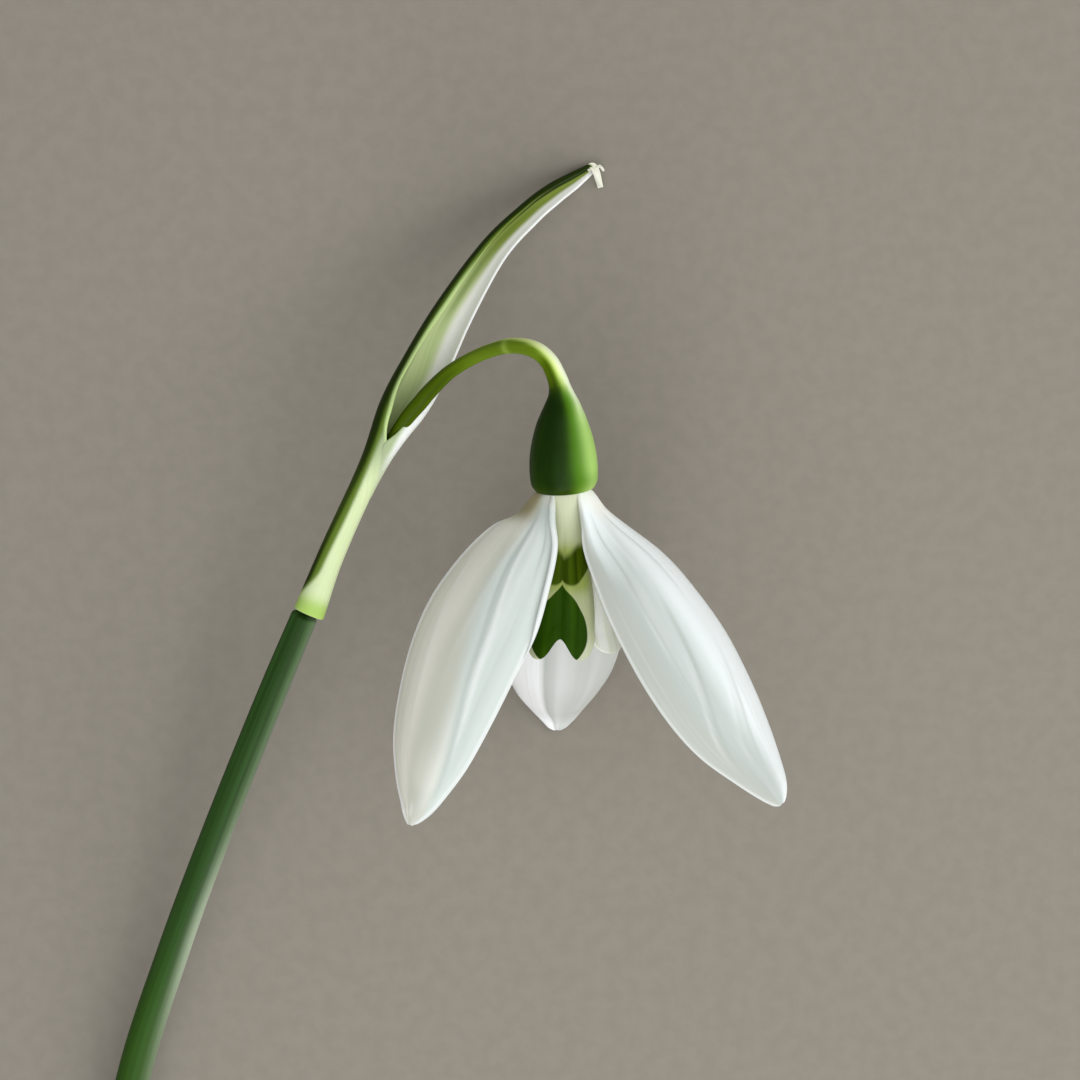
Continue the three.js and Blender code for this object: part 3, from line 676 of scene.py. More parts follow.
def outer_petal(
    name, rows, outward_sign, folds, material, overhang, painted_light_levels, inner_painted_shade_reaches,
    floor=0, flare=0, claw_light=0.5, tip=(0, 0, 0), rim=None,
):
    """A long petal between its two edges, with folds down it. Along goes from 0 at the claw to 1 at the tip,
    and across from 0 at the inner edge to 1 at the outer. Place and column are those of the mesh, which
    starts a little above the claw and has the rolled rim before its inner edge.

    overhang is how far it reaches past the inner and the outer edge, and flare how far its outer rim bends
    out, in mm. claw_light is how much painted light its claw gets. tip is how much painted light its last
    third gets, how far the painted light levels shift outwards there, and how far its end is darkened by
    painted shade. rim is the rolled rim's radius in mm and where it ends."""
    inner_edge = through([row[0] for row in rows])
    outer_edge = through([row[1] for row in rows])
    bulge_at = smooth_line([row[2] for row in rows])
    fold_lines = [(smooth_line(list(fold[0])), *fold[1:]) for fold in folds]
    painted_light_level_at, inner_at = smooth_line(painted_light_levels), smooth_line(inner_painted_shade_reaches)
    tip_light, tip_shift, tip_shade = tip
    rim_share = RIM_SHARE if rim else 0.0

    def fold_height(along, across, width):
        height = 0.0
        for across_at_crest, flank, rise, start, end in fold_lines:
            away = (across - across_at_crest(along)) * width / flank
            fading = min(FOLD_FADE, (end - start) * SHORT_FOLD_FADE)
            fade = ease(along, start, start + fading) * (1 - ease(along, end - fading, end))
            height += rise * fade * math.exp(FOLD_CREST - math.sqrt(away**2 + FOLD_CREST**2))
        return height

    def on_arc(along, across):
        start, end = inner_edge(along), outer_edge(along)
        chord = end - start
        lengthways = tangent_of(inner_edge, along) + tangent_of(outer_edge, along)
        sideways = chord.normalized()
        outward = chord.cross(lengthways).normalized() * outward_sign
        reach = ease(along, 0.05, 0.3)
        start = start - sideways * overhang[0] * reach
        end = end + sideways * overhang[1] * reach
        past_tip = max((along - TIP_START) / TIP_LENGTH, 0.0)
        half_chord = (end - start).length / 2 * max(math.sqrt(max(1 - past_tip**2, 0.0)), NARROWEST_END)
        bulge = max(bulge_at(along), FLATTEST_BULGE)
        radius = (half_chord**2 + bulge**2) / (2 * bulge)
        half_angle = math.asin(min(half_chord / radius, 1.0))
        angle = (2 * across - 1) * half_angle
        rise = radius * (math.cos(angle) - math.cos(half_angle)) + fold_height(along, across, 2 * half_chord)
        point = (start + end) / 2 + sideways * radius * math.sin(angle) + outward * rise
        surface_out = (outward * math.cos(angle) + sideways * math.sin(angle)).normalized()
        flared = ease((1 - across) * 2 * half_chord, 0.4, 0.0) * ease(along, 0.1, 0.25)
        point += surface_out * flare * flared * (1 - ease(along, 0.93, 1.0))
        return point, surface_out, (sideways * math.cos(angle) - outward * math.sin(angle)).normalized()

    def surface(place, column):
        along = CLAW_START + (1 - CLAW_START) * place
        if column >= rim_share:
            return on_arc(along, (column - rim_share) / (1 - rim_share))[0]
        point, surface_out, inwards = on_arc(along, 0.0)
        rim_radius, rim_end = rim
        strength = 1 - ease(along, rim_end - 0.15, rim_end)
        radius = rim_radius * max(strength, LEAST_RIM) * (0.4 + 0.6 * ease(along, -0.01, 0.04))
        turn = RIM_TURN * (1 - column / rim_share) * (0.3 + 0.7 * strength)
        return point - inwards * radius * math.sin(turn) + surface_out * radius * (1 - math.cos(turn))

    def across_at(column):
        return max(column - rim_share, 0.0) / (1 - rim_share)

    def width_at(place):
        return max((inner_edge(place) - outer_edge(place)).length, 0.5)

    # The marks for the paint, several of them painted light and shade. The places where they start and are
    # full are shares of the length or of the width, but those of the painted edge highlight are in mm from an
    # edge
    def claw(place, column):
        return 0.7 * (1 - ease(place, 0.02, 0.13))

    # Beside the claw, fading towards the inner edge; on the left petal its colour is a painted shadow
    def shoulder(place, column):
        return (1 - ease(place, 0.08, 0.24)) * ease(across_at(column), 0.1, 0.7)

    # A painted highlight along the edges, full by the outer edge and weaker by the inner one
    def painted_edge_highlight(place, column):
        across, width = across_at(column), width_at(place)
        by_outer_edge = 1 - ease((1 - across) * width, 0.15, 0.4)
        by_inner_edge = 0.4 * (1 - ease(across * width, 0.1, 0.3))
        return max(by_outer_edge, by_inner_edge) * ease(place, 0.1, 0.2)

    # How much painted light falls at each place: the levels across the petal, more at the claw and over the
    # last third, and painted shade darkening its end
    def painted_light_level(place, column):
        across = max(across_at(column) - tip_shift * ease(place, 0.55, 0.85), 0.0)
        at_end = ease(place, 0.78, 0.86)
        at_claw = claw_light * (1 - ease(place, 0.12, 0.45))
        at_tip = tip_light * ease(place, 0.6, 0.76) * (1 - at_end)
        return min(max(painted_light_level_at(across), at_claw, at_tip), 1.0) * (1 - tip_shade * at_end)

    # Painted shade by the inner edge, as far across as the listed reaches
    def inner_painted_shade(place, column):
        reach = inner_at(place)
        return 1 - ease(across_at(column), reach - 0.09, reach + 0.09)

    # Painted highlights on the crests of the folds and painted shade in their hollows, from their height
    def fold(place, column):
        height = fold_height(place, across_at(column), width_at(place))
        return min(max(height / FOLD_FULL_HEIGHT, -1.0), 1.0)

    def thickness(place, column):
        across = across_at(column)
        edge = min(across, 1 - across) if column > rim_share else 0.0
        return (0.5 + 0.5 * ease(edge, 0.0, 0.1)) * (1 - 0.4 * ease(place, 0.9, 1.0))

    marks = [
        ("claw", claw), ("shoulder", shoulder), ("painted_edge_highlight", painted_edge_highlight), ("painted_light_level", painted_light_level), ("fold", fold),
        ("inner_painted_shade", inner_painted_shade), ("thin", thickness),
    ]
    mesh = sheet_over(surface, along_cells=110, across_cells=60, floor=floor, marks=marks)
    piece = finish_mesh(name, mesh, [material])
    add_wall(piece, PETAL_THICK, "thin")
    return piece


# Inner petals

def inner_petal(
    name, turn_degrees, widths, materials, cup_change=0, lean=0, mark_widths=(1, 1), green=1, bow=0,
):
    """One inner petal of the cup, turned about the flower's axis. widths is how wide it is to each side, and
    mark_widths how wide its lower mark is, as shares of the usual. cup_change is how much wider its cup is
    and bow how far its one flank bends outwards, in mm. lean is how many degrees round the cup its end
    leans, and green how green its skin is."""
    cup_radius = smooth_line(INNER_CUP_RADII)
    half_width = smooth_line(INNER_HALF_WIDTHS)
    upper_bottom = smooth_line(UPPER_BOTTOM)
    leg_outside, leg_inside = smooth_line(LEG_OUTSIDES), smooth_line(LEG_INSIDES)
    turn = math.radians(turn_degrees)

    def below_at(along, side):
        notch = INNER_NOTCH_DEPTH * hump(side, 0, INNER_NOTCH_WIDTH)
        shoulder = INNER_SHOULDER_DROP * abs(side) ** 6
        return INNER_START + along * (INNER_LENGTH - INNER_START - notch - shoulder)

    def offset_at(along, side):
        return half_width(along) * widths[0 if side < 0 else 1] * side

    def surface(along, across):
        side = 2 * across - 1
        below = below_at(along, side)
        radius = cup_radius(max(below, 0) / INNER_LENGTH) + cup_change
        ripple = INNER_RIPPLE * math.sin(side * INNER_RIPPLE_TURNS) * ease(along, 0.2, 0.6)
        groove = -INNER_GROOVE * hump(side, 0, INNER_GROOVE_WIDTH) * ease(along, 0.1, 0.5)
        flare = INNER_FLARE * ease(along, 0.85, 1.0)
        spread = offset_at(along, side) / radius + math.radians(lean) * along**2
        radius += ripple + groove + flare + bow * ease(along, 0.35, 0.9) * ease(side, -0.9, -0.2)
        point = OVARY_BASE + FLOWER_DOWN * below
        point += FLOWER_FRONT * radius * math.cos(turn + spread)
        return point + FLOWER_RIGHT * radius * math.sin(turn + spread)

    # The value of each green mark is how far inside its outline a point lies, in mm, so its edge is soft
    def upper_mark(along, across):
        side = 2 * across - 1
        below, offset = below_at(along, side), offset_at(along, side)
        from_v = min(abs(offset - UPPER_V_MIDDLE) / UPPER_V_HALF_WIDTH, 1.0)
        top = UPPER_TOP - UPPER_V_DEPTH * from_v
        bottom = upper_bottom(min(abs(offset) / UPPER_HALF_WIDTH, 1.0))
        return min((below - top) * UPPER_TOP_SOFTNESS, bottom - below)

    def lower_mark(along, across):
        side = 2 * across - 1
        below, offset = below_at(along, side), offset_at(along, side)
        outside = leg_outside(min(max((below - LOWER_TOP) / LOWER_LENGTH, 0.0), 1.0))
        outside *= mark_widths[0] if side < 0 else mark_widths[1]
        inside = leg_inside(min(max((below - LEGS_PART) / LEGS_LENGTH, 0.0), 1.0))
        return min(outside - abs(offset), abs(offset) - inside, 1.0)

    def haze(along, across):
        side = 2 * across - 1
        below, offset = below_at(along, side), offset_at(along, side)
        towards = ease(below, 1.0, 4.6) * (1 - ease(below, 9.0, 11.0))
        near_mark = hump(below, 4.3, 0.7) + hump(below, 6.3, 0.8)
        return green * (0.7 + 0.25 * towards + 0.45 * near_mark * (1 - ease(abs(offset), 1.5, 2.2)))

    def thickness(along, across):
        edge = min(across, 1 - across, 1 - along)
        return 0.5 + 0.5 * ease(edge, 0.0, 0.1)

    marks = [("upper_mark", upper_mark), ("lower_mark", lower_mark), ("haze", haze), ("thin", thickness)]
    mesh = sheet_over(surface, along_cells=84, across_cells=48, marks=marks, turned=True)
    piece = finish_mesh(name, mesh, materials)
    add_wall(piece, INNER_PETAL_THICK, "thin", inner_material=1)
    return piece


# Stems

# A place this near a ring of a tube counts as that ring, so rounding never skips one
RING_MARGIN = 1e-6


def tube_over(line, radius_at, cap_at_start, cap_at_end, rings, sides, marks=()):
    """A tube of rings along a line, closed at both ends. across goes once round it, from its right side
    through its top. A cap is a list of (share of the radius, step along the line in mm), from the middle of
    the end outwards. The mark start_cap is 1 in the middle of the first cap and 0 from its rim on."""
    places = [(0.0, share, step) for share, step in cap_at_start]
    places += [(ring / rings, 1.0, 0.0) for ring in range(rings + 1)]
    places += [(1.0, share, step) for share, step in reversed(cap_at_end)]
    last = len(places) - 1

    def ring_at(place):
        low = min(int(place * last + RING_MARGIN), last - 1)
        share = min(max(place * last - low, 0.0), 1.0)
        return places[low], places[low + 1], share

    def surface(place, across):
        (along_a, size_a, step_a), (along_b, size_b, step_b), share = ring_at(place)
        along = along_a + (along_b - along_a) * share
        size = size_a + (size_b - size_a) * share
        step = step_a + (step_b - step_a) * share
        tangent = tangent_of(line, along)
        sideways = tangent.cross(UP).normalized()
        upwards = sideways.cross(tangent)
        turn = math.tau * across
        radius = radius_at(along, across) * size
        point = line(along) + tangent * step
        return point + sideways * radius * math.cos(turn) + upwards * radius * math.sin(turn)

    def real_place(place):
        (along_a, _, _), (along_b, _, _), share = ring_at(place)
        return along_a + (along_b - along_a) * share

    def along_line(mark):
        return lambda place, across: mark(real_place(place), across)

    def start_cap(place, across):
        return 1 - ease(place, 0.0, len(cap_at_start) / last)

    own_marks = [(name, along_line(mark)) for name, mark in marks]
    own_marks.append(("start_cap", start_cap))
    return sheet_over(surface, along_cells=last, across_cells=sides, wrapped=True, marks=own_marks)


def round_end(outwards, depth):
    """A softly rounded end for a tube: outwards is -1 at its start and 1 at its end."""
    return [(share, outwards * depth * (1 - share**2)) for share in (0.0, 0.45, 0.75, 0.93)]


# The stem in mm: its middle line from its cut end to the spathe, its radius at both ends and its fine ribs
STEM_LINE = through([
    (-34.9, -65.0, 1.25),
    (-32.9, -52.5, 1.85),
    (-30.7, -40.7, 3.4),
    (-27.6, -31.1, 5.0),
    (-24.1, -21.8, 6.9),
    (-20.02, -11.8, 9.2),
    (-17.33, -5.6, 11.0),
])
STEM_TOP_RADIUS = 1.0
STEM_CUT_RADIUS = 1.43
STEM_RIBS = 9
STEM_RIB_HEIGHT = 0.012

# The cut end from its middle outwards: the share of the radius, and how far the flesh is sunk in, in mm
STEM_CUT = [(0.0, 0.16), (0.3, 0.13), (0.6, 0.03), (0.86, -0.01), (0.97, 0.0)]


def scape():
    def radius_at(along, across):
        ribs = STEM_RIB_HEIGHT * math.cos(math.tau * across * STEM_RIBS)
        return STEM_CUT_RADIUS + (STEM_TOP_RADIUS - STEM_CUT_RADIUS) * along + ribs

    def pale(along, across):
        return 0.6 * (1 - ease(along, 0.35, 0.65))

    # A pale grey band down the right side: partly waxy bloom, partly painted sheen where the light falls
    def wax_and_painted_sheen(along, across):
        to_right = math.cos(math.tau * across)
        return max(to_right, 0.0) ** 1.5 * (0.4 + 0.42 * hump(along, 0.54, 0.12))

    def no_pith(along, across):
        return 0.0

    marks = [("pale", pale), ("wax_and_painted_sheen", wax_and_painted_sheen), ("pith", no_pith)]
    mesh = tube_over(STEM_LINE, radius_at, STEM_CUT, round_end(1, 0.3), rings=130, sides=28, marks=marks)
    pith = mesh.verts.layers.float["pith"]
    cap = mesh.verts.layers.float["start_cap"]
    for vert in mesh.verts:
        vert[pith] = ease(vert[cap], 0.45, 0.95)
    for face in mesh.faces:
        is_cut = min(vert[cap] for vert in face.verts) > 0.02
        face.material_index = 1 if is_cut else 0
    piece = finish_mesh("flower_stem", mesh, [waxed_stem_skin(), cut_stem_flesh()])
    round_off(piece)
    put_on(piece, "stem", "scape")


# The stalk and the ovary follow one line, so the one swells into the other: its points and radii in mm
FLOWER_POINTS = [
    (-14.1, 2.2, 11.2, 0.42),
    (-12.7, 4.4, 11.7, 0.44),
    (-11.45, 6.4, 11.6, 0.45),
    (-10.56, 7.8, 11.86, 0.49),
    (-9.7, 9.0, 12.35, 0.56),
    (-8.8, 10.0, 12.95, 0.59),
    (-8.0, 10.9, 13.6, 0.58),
    (-6.6, 12.16, 15.0, 0.53),
    (-4.9, 13.1, 17.0, 0.51),
    (-3.2, 13.69, 19.0, 0.52),
    (-1.8, 13.85, 20.7, 0.57),
    (-0.4, 13.52, 21.9, 0.63),
    (0.6, 12.7, 22.3, 0.66),
    (1.2, 11.5, 22.25, 0.72),
    (1.46, 10.57, 22.05, 0.86),
    (1.57, 9.73, 21.8, 1.24),
    (1.6, 8.88, 21.6, 1.62),
    (1.6, 8.04, 21.35, 1.94),
    (1.62, 7.2, 21.1, 2.18),
    (1.65, 6.35, 20.9, 2.35),
    (1.68, 5.5, 20.7, 2.44),
    (1.72, 4.65, 20.45, 2.44),
    (1.8, 3.7, 20.2, 2.36),
]
FLOWER_LINE = through([point[:3] for point in FLOWER_POINTS])
FLOWER_RADIUS = smooth_line([point[3] for point in FLOWER_POINTS])

# Places on that line. The stalk ends inside the ovary's top, and the neck is where the ovary starts to swell
FLOWER_SPANS = len(FLOWER_POINTS) - 1
OVARY_START = 12.6 / FLOWER_SPANS
NECK_PLACE = 13.4 / FLOWER_SPANS
STALK_END = 14.3 / FLOWER_SPANS

# Where the painted light on the stalk and the ovary comes from, and the facing at which the ovary's
# painted light is fullest
STALK_LIGHT = Vector((0.72, 0.64, 0.26))
OVARY_LIGHT = Vector((0.95, 0.2, 0.25))
OVARY_PALEST = 0.83

# In mm, the stalk's greatest radius, how much thinner it ends inside the ovary, and how much thinner the ovary
# starts inside the stalk
STALK_GREATEST = 0.8
STALK_END_INSET = 0.16
OVARY_START_INSET = 0.14

# Where the stalk has its faint node, as a share of its length, and how the ovary is ribbed
NODE_PLACE = 0.68
OVARY_RIBS = 3
OVARY_RIB_HEIGHT = 0.015


def painted_light_side(place, across):
    """How far the skin faces the painted light: up on the stalk, to the right on the ovary. It sets how much
    painted light makes the skin paler."""
    tangent = tangent_of(FLOWER_LINE, place)
    sideways = tangent.cross(UP).normalized()
    turn = math.tau * across
    outwards = sideways * math.cos(turn) + sideways.cross(tangent) * math.sin(turn)
    on_ovary = ease(place, NECK_PLACE - 0.03, NECK_PLACE + 0.12)
    facing = outwards.dot(STALK_LIGHT.lerp(OVARY_LIGHT, on_ovary))
    stalk_share = ease(facing, -0.25, 1.05) * (1 - on_ovary)
    ovary_share = min(max(facing, 0.0) ** 2 / OVARY_PALEST, 1.0) * on_ovary
    return stalk_share + ovary_share


def painted_glint(place, across):
    """Where the skin by the neck, on its side towards the painted light, is painted nearly white as a painted
    highlight.
    """
    return ease(painted_light_side(place, across), 0.6, 1.0) * hump(place, NECK_PLACE - 0.02, 0.12)


def ovary_green(place):
    """How far the skin has turned from the stalk's yellow green to the ovary's dark green."""
    return ease(place, NECK_PLACE - 0.06, NECK_PLACE + 0.06)


def flower_stalk(skin):
    def line(along):
        return FLOWER_LINE(along * STALK_END)

    def radius_at(along, across):
        place = along * STALK_END
        inside = STALK_END_INSET * ease(place, NECK_PLACE, STALK_END)
        return min(FLOWER_RADIUS(place), STALK_GREATEST) - inside + 0.02 * hump(along, NODE_PLACE, 0.015)

    # The side towards the painted light is painted palest, and the arch is a little paler than the rest
    # all round
    def pale(along, across):
        node = 0.1 * hump(along, NODE_PLACE, 0.012)
        lit_side_paint = painted_light_side(along * STALK_END, across) * ease(along, 0.2, 0.58)
        arch = 0.19 * ease(along, 0.42, 0.58) * (1 - ease(along, 0.8, 0.88))
        return min(max(lit_side_paint, arch) + node, 1.0)

    def deep(along, across):
        return ovary_green(along * STALK_END)

    def bright(along, across):
        return painted_glint(along * STALK_END, across)

    marks = [("pale", pale), ("deep", deep), ("painted_glint", bright)]
    ends = round_end(-1, 0.2), round_end(1, 0.1)
    mesh = tube_over(line, radius_at, *ends, rings=120, sides=20, marks=marks)
    piece = finish_mesh("flower_stalk", mesh, [skin])
    round_off(piece)
    put_on(piece, "flower_stalk", "pedicel")


def ovary(skin):
    def place_at(along):
        return OVARY_START + along * (1 - OVARY_START)

    def line(along):
        return FLOWER_LINE(place_at(along))

    def radius_at(along, across):
        place = place_at(along)
        inside = OVARY_START_INSET * (1 - ease(place, OVARY_START, NECK_PLACE + 0.02))
        near_base = 0.09 * ease(along, 0.93, 1.0) ** 2
        ribs = OVARY_RIB_HEIGHT * math.cos(math.tau * OVARY_RIBS * across) * ease(along, 0.4, 0.7)
        return (FLOWER_RADIUS(place) - inside + ribs) * (1 - near_base)

    # The side towards the painted light is painted paler, a little less so near the base
    def pale(along, across):
        return painted_light_side(place_at(along), across) * (1 - 0.3 * ease(along, 0.75, 1.0))

    def deep(along, across):
        return ovary_green(place_at(along)) - 0.3 * ease(along, 0.85, 1.0)

    def bright(along, across):
        return painted_glint(place_at(along), across)

    marks = [("pale", pale), ("deep", deep), ("painted_glint", bright)]
    ends = round_end(-1, 0.05), round_end(1, 0.2)
    mesh = tube_over(line, radius_at, *ends, rings=64, sides=48, marks=marks)
    piece = finish_mesh("ovary_body", mesh, [skin])
    round_off(piece)
    put_on(piece, "ovary", "ovary")


# Spathe

# Its left edge as seen from above, from the foot of its sheath to its tip, in mm
SPATHE_EDGE = through([
    (-18.1, -5.0, 11.0),
    (-16.1, -0.4, 11.3),
    (-13.3, 5.7, 11.6),
    (-11.8, 10.1, 11.4),
    (-10.2, 13.3, 10.6),
    (-7.7, 17.6, 8.6),
    (-4.3, 22.4, 5.6),
    (-1.3, 25.4, 3.6),
    (0.6, 26.9, 2.5),
    (2.3, 27.9, 1.2),
    (3.9, 28.7, 0.32),
])

# How wide it is in mm, and how deep as a share of that, at even steps along it
SPATHE_WIDTH = smooth_line([2.35, 1.95, 2.0, 3.4, 3.6, 3.1, 2.32, 1.98, 1.8, 1.45, 0.85])
SPATHE_DEPTH_RATIO = smooth_line([0.95, 1, 1, 0.84, 0.72, 0.72, 0.76, 0.8, 0.85, 0.9, 1])

# Where the near and the far lip stand round its section, in degrees, at even steps along it. Up is 90 and
# left is 180. Along the sheath the far lip laps over the near one, out of sight. Above it they part
NEAR_LIP = smooth_line(
    [-60, -60, -60, -60, 10, 92, 114, 128, 130, 127, 121, 122, 124, 126, 126, 126, 126, 126, 126, 126, 126]
)
FAR_LIP = smooth_line(
    [308, 308, 308, 325, 405, 418, 412, 408, 392, 364, 350, 346, 344, 343, 342, 341, 340, 339, 338, 337, 336]
)

# The lapping lips stand this far apart, in mm. Where they part, the far one reaches on over the stalk: where
# that is and how far it goes to each side, as shares of the length, and by how many degrees
SPATHE_LAP = 0.05
CROTCH_PLACE = 0.232
CROTCH_HALF_LENGTH = 0.018
CROTCH_DEGREES = 30

# How far across the spathe the painted shade down its left side, near black, reaches from the left, at each
# tenth of its length
SPATHE_PAINTED_SHADE = smooth_line([0.1, 0.18, 0.27, 0.17, 0.12, 0.12, 0.15, 0.2, 0.25, 0.3, 0.35])


def spathe():
    def degrees_at(along, across):
        near = NEAR_LIP(along)
        far = FAR_LIP(along) + CROTCH_DEGREES * hump(along, CROTCH_PLACE, CROTCH_HALF_LENGTH)
        return near + (far - near) * across

    def surface(along, across):
        tangent = tangent_of(SPATHE_EDGE, along)
        sideways = tangent.cross(UP).normalized()
        upwards = sideways.cross(tangent).normalized()
        half_width = SPATHE_WIDTH(along) / 2
        half_depth = half_width * SPATHE_DEPTH_RATIO(along)
        turn = math.radians(degrees_at(along, across))
        lap = SPATHE_LAP * (across - 0.5) * (1 - ease(along, 0.24, 0.3))
        inset = SPATHE_WALL / 2 - lap
        centre = SPATHE_EDGE(along) + sideways * half_width
        point = centre + sideways * (half_width - inset) * math.cos(turn)
        return point + upwards * (half_depth - inset) * math.sin(turn)

    def from_left(along, across):
        """How far a point lies from the left edge towards the right one, seen from above."""
        return (1 + math.cos(math.radians(degrees_at(along, across)))) / 2

    def before_tip(along):
        return 1 - ease(along, 0.97, 1.0)

    # The marks for the paint. The places where they start and are full are shares of the length or of the
    # width as seen from above, or degrees round the section
    def keel(along, across):
        reach = 0.5 - 0.42 * (1 - ease(along, 0.01, 0.075)) + 0.1 * hump(along, 0.15, 0.06)
        return (1 - ease(from_left(along, across), reach - 0.26, reach)) * before_tip(along)

    # Painted shade, near black, down the left side
    def painted_left_shade(along, across):
        limit = SPATHE_PAINTED_SHADE(along) - 0.2 * (1 - ease(along, 0.01, 0.06))
        dark = 1 - ease(from_left(along, across), limit - 0.08, limit + 0.09)
        return dark * before_tip(along) * (1 - 0.3 * hump(along, 0.15, 0.07))

    def near_lip(along, across):
        away = degrees_at(along, across) - NEAR_LIP(along)
        return (1 - ease(away, 5, 15)) * ease(along, 0.2, 0.27) * (1 - ease(along, 0.5, 0.6))

    def white_lip(along, across):
        far_side = ease(from_left(along, across), 0.7, 0.95) * ease(along, 0.17, 0.25)
        far_rim = ease(across, 0.9, 0.97) * ease(along, 0.3, 0.4)
        return max(far_side, far_rim)

    # Painted shade, a greyer green, where the stalk comes out of the sheath
    def painted_crotch_shade(along, across):
        return ease(along, 0.16, 0.25) * (1 - ease(along, 0.27, 0.33))

    def collar(along, across):
        return 1 - ease(along, 0.004, 0.045)

    def olive(along, across):
        return ease(along, 0.46, 0.68)

    def rib(along, across):
        middle = hump(from_left(along, across), 0.37, 0.1)
        return middle * ease(along, 0.45, 0.55) * (1 - ease(along, 0.68, 0.8))

    def white_side(along, across):
        start = 0.47 - 0.1 * hump(along, 0.5, 0.07)
        on_far_wall = ease(degrees_at(along, across), 240, 270)
        return ease(from_left(along, across), start, start + 0.4) * on_far_wall

    def thickness(along, across):
        edge = min(across, 1 - across)
        open_here = ease(along, 0.1, 0.25)
        return 1 - open_here * (0.35 - 0.35 * ease(edge, 0.0, 0.12))

    marks = [
        ("keel", keel), ("painted_left_shade", painted_left_shade), ("near_lip", near_lip), ("white_lip", white_lip),
        ("painted_crotch_shade", painted_crotch_shade), ("collar", collar), ("olive", olive), ("rib", rib), ("white_side", white_side),
        ("thin", thickness),
    ]
    lowest = SPATHE_WALL / 2
    mesh = sheet_over(surface, along_cells=160, across_cells=56, floor=lowest, marks=marks, turned=True)
    piece = finish_mesh("spathe_blade", mesh, [keeled_spathe_skin(), pale_spathe_skin(), spathe_lip_skin()])
    add_wall(piece, SPATHE_WALL, "thin", rim_material=2, inner_material=1)
    put_on(piece, "spathe", "spathe")


# The strips of the dry tip: the points down their middle and their width, in mm
DRY_STRIPS = [
    (
        [(3.6, 28.15, 0.45), (3.98, 28.45, 0.6), (4.27, 28.0, 0.65), (4.45, 27.4, 0.55), (4.6, 26.8, 0.4)],
        0.58,
    ),
    ([(4.25, 28.35, 0.6), (4.6, 28.4, 0.62), (4.85, 28.05, 0.5)], 0.2),
]
CRUMPLE_HEIGHT = 0.07


def dry_strip(points, width):
    middle = through(points)

    def surface(along, across):
        side = tangent_of(middle, along).cross(UP).normalized()
        crumple = CRUMPLE_HEIGHT * math.sin(7 * along + 5 * across)
        taper = width * (0.75 + 0.25 * math.sin(math.pi * min(along * 1.2, 1.0)))
        return middle(along) + side * (across - 0.5) * taper + UP * crumple

    return sheet_over(surface, along_cells=24, across_cells=8, floor=DRY_TISSUE)


def spathe_tip():
    """The dry tip, a papery strip that folds over and hangs, with a shred beside it."""
    both = bmesh.new()
    for points, width in DRY_STRIPS:
        strip = dry_strip(points, width)
        part = bpy.data.meshes.new("strip")
        strip.to_mesh(part)
        strip.free()
        both.from_mesh(part)
        bpy.data.meshes.remove(part)
    piece = finish_mesh("spathe_dry_tip", both, [papery_dry_tissue()])
    add_wall(piece, DRY_TISSUE)
    put_on(piece, "spathe")


# Stamens and style

# They start a little inside the ovary and end so far below its base, in mm. The stamens stand in a ring and
# lean in by a share of its radius. Their own radii are given at even steps down them, and the grooves of an
# anther are a share of those
SEATED = 0.1
STAMEN_COUNT = 6
STAMEN_END = 6.7
STAMEN_RING_RADIUS = 1.0
STAMEN_LEAN = 0.06
STAMEN_RADII = [0.2, 0.19, 0.17, 0.34, 0.4, 0.4, 0.37, 0.32, 0.25, 0.16, 0.06]
ANTHER_GROOVE = 0.14
STYLE_END = 8.2
STYLE_RADIUS = 0.28
STYLE_TAPER = 0.09


def in_flower(below, radius, turn):
    """The point so far below the ovary's base, and so far from the flower's axis towards a turn about it."""
    point = OVARY_BASE + FLOWER_DOWN * below + FLOWER_FRONT * radius * math.cos(turn)
    return point + FLOWER_RIGHT * radius * math.sin(turn)


def stamen(number, material):
    turn = math.tau * (number - 0.5) / STAMEN_COUNT
    plain_radius = smooth_line(STAMEN_RADII)

    def line(along):
        ring_radius = STAMEN_RING_RADIUS * (1 - STAMEN_LEAN * along)
        return in_flower(along * (STAMEN_END + SEATED) - SEATED, ring_radius, turn)

    def radius_at(along, across):
        in_groove = abs(math.cos(math.tau * across)) ** 3 * ease(along, 0.2, 0.35)
        return plain_radius(along) * (1 - ANTHER_GROOVE * in_groove)

    def anther(along, across):
        return ease(along, 0.19, 0.26)

    ends = round_end(-1, 0.05), round_end(1, 0.05)
    mesh = tube_over(line, radius_at, *ends, rings=36, sides=16, marks=[("anther", anther)])
    piece = finish_mesh(f"stamen_thread_{number}", mesh, [material])
    round_off(piece)
    put_on(piece, "stamen", f"stamen_{number}")


def style():
    def line(along):
        return in_flower(along * (STYLE_END + SEATED) - SEATED, 0.0, 0.0)

    def radius_at(along, across):
        return STYLE_RADIUS - STYLE_TAPER * along

    ends = round_end(-1, 0.05), round_end(1, 0.12)
    mesh = tube_over(line, radius_at, *ends, rings=30, sides=16)
    piece = finish_mesh("style_column", mesh, [smooth_style_skin()])
    round_off(piece)
    put_on(piece, "style", "style")


# The bloom

green_skin = smooth_green_skin()
scape()
spathe()
spathe_tip()
flower_stalk(green_skin)
ovary(green_skin)

# The grey body colours of the outer petals are painted shade, and their light colours painted light
left_skin = white_petal_skin(
    "white_petal_skin_left", seed=1.0,
    # Its olive brown shoulder colour is a painted shadow beside the claw
    body="#cccdc0", light="#fbf9ea", inner="#cdd5cf", shoulder="#a09876",
)
left_petal = outer_petal(
    "outer_petal_left", LEFT_ROWS, 1, LEFT_FOLDS, left_skin, (0.0, 0.05), LEFT_PAINTED_LIGHT, LEFT_INNER_SHADE,
    flare=0.22, claw_light=0.65, tip=(0.3, 0.04, 0.1), rim=(0.2, 0.5),
)
put_on(left_petal, "outer_petal", "outer_tepal_left")

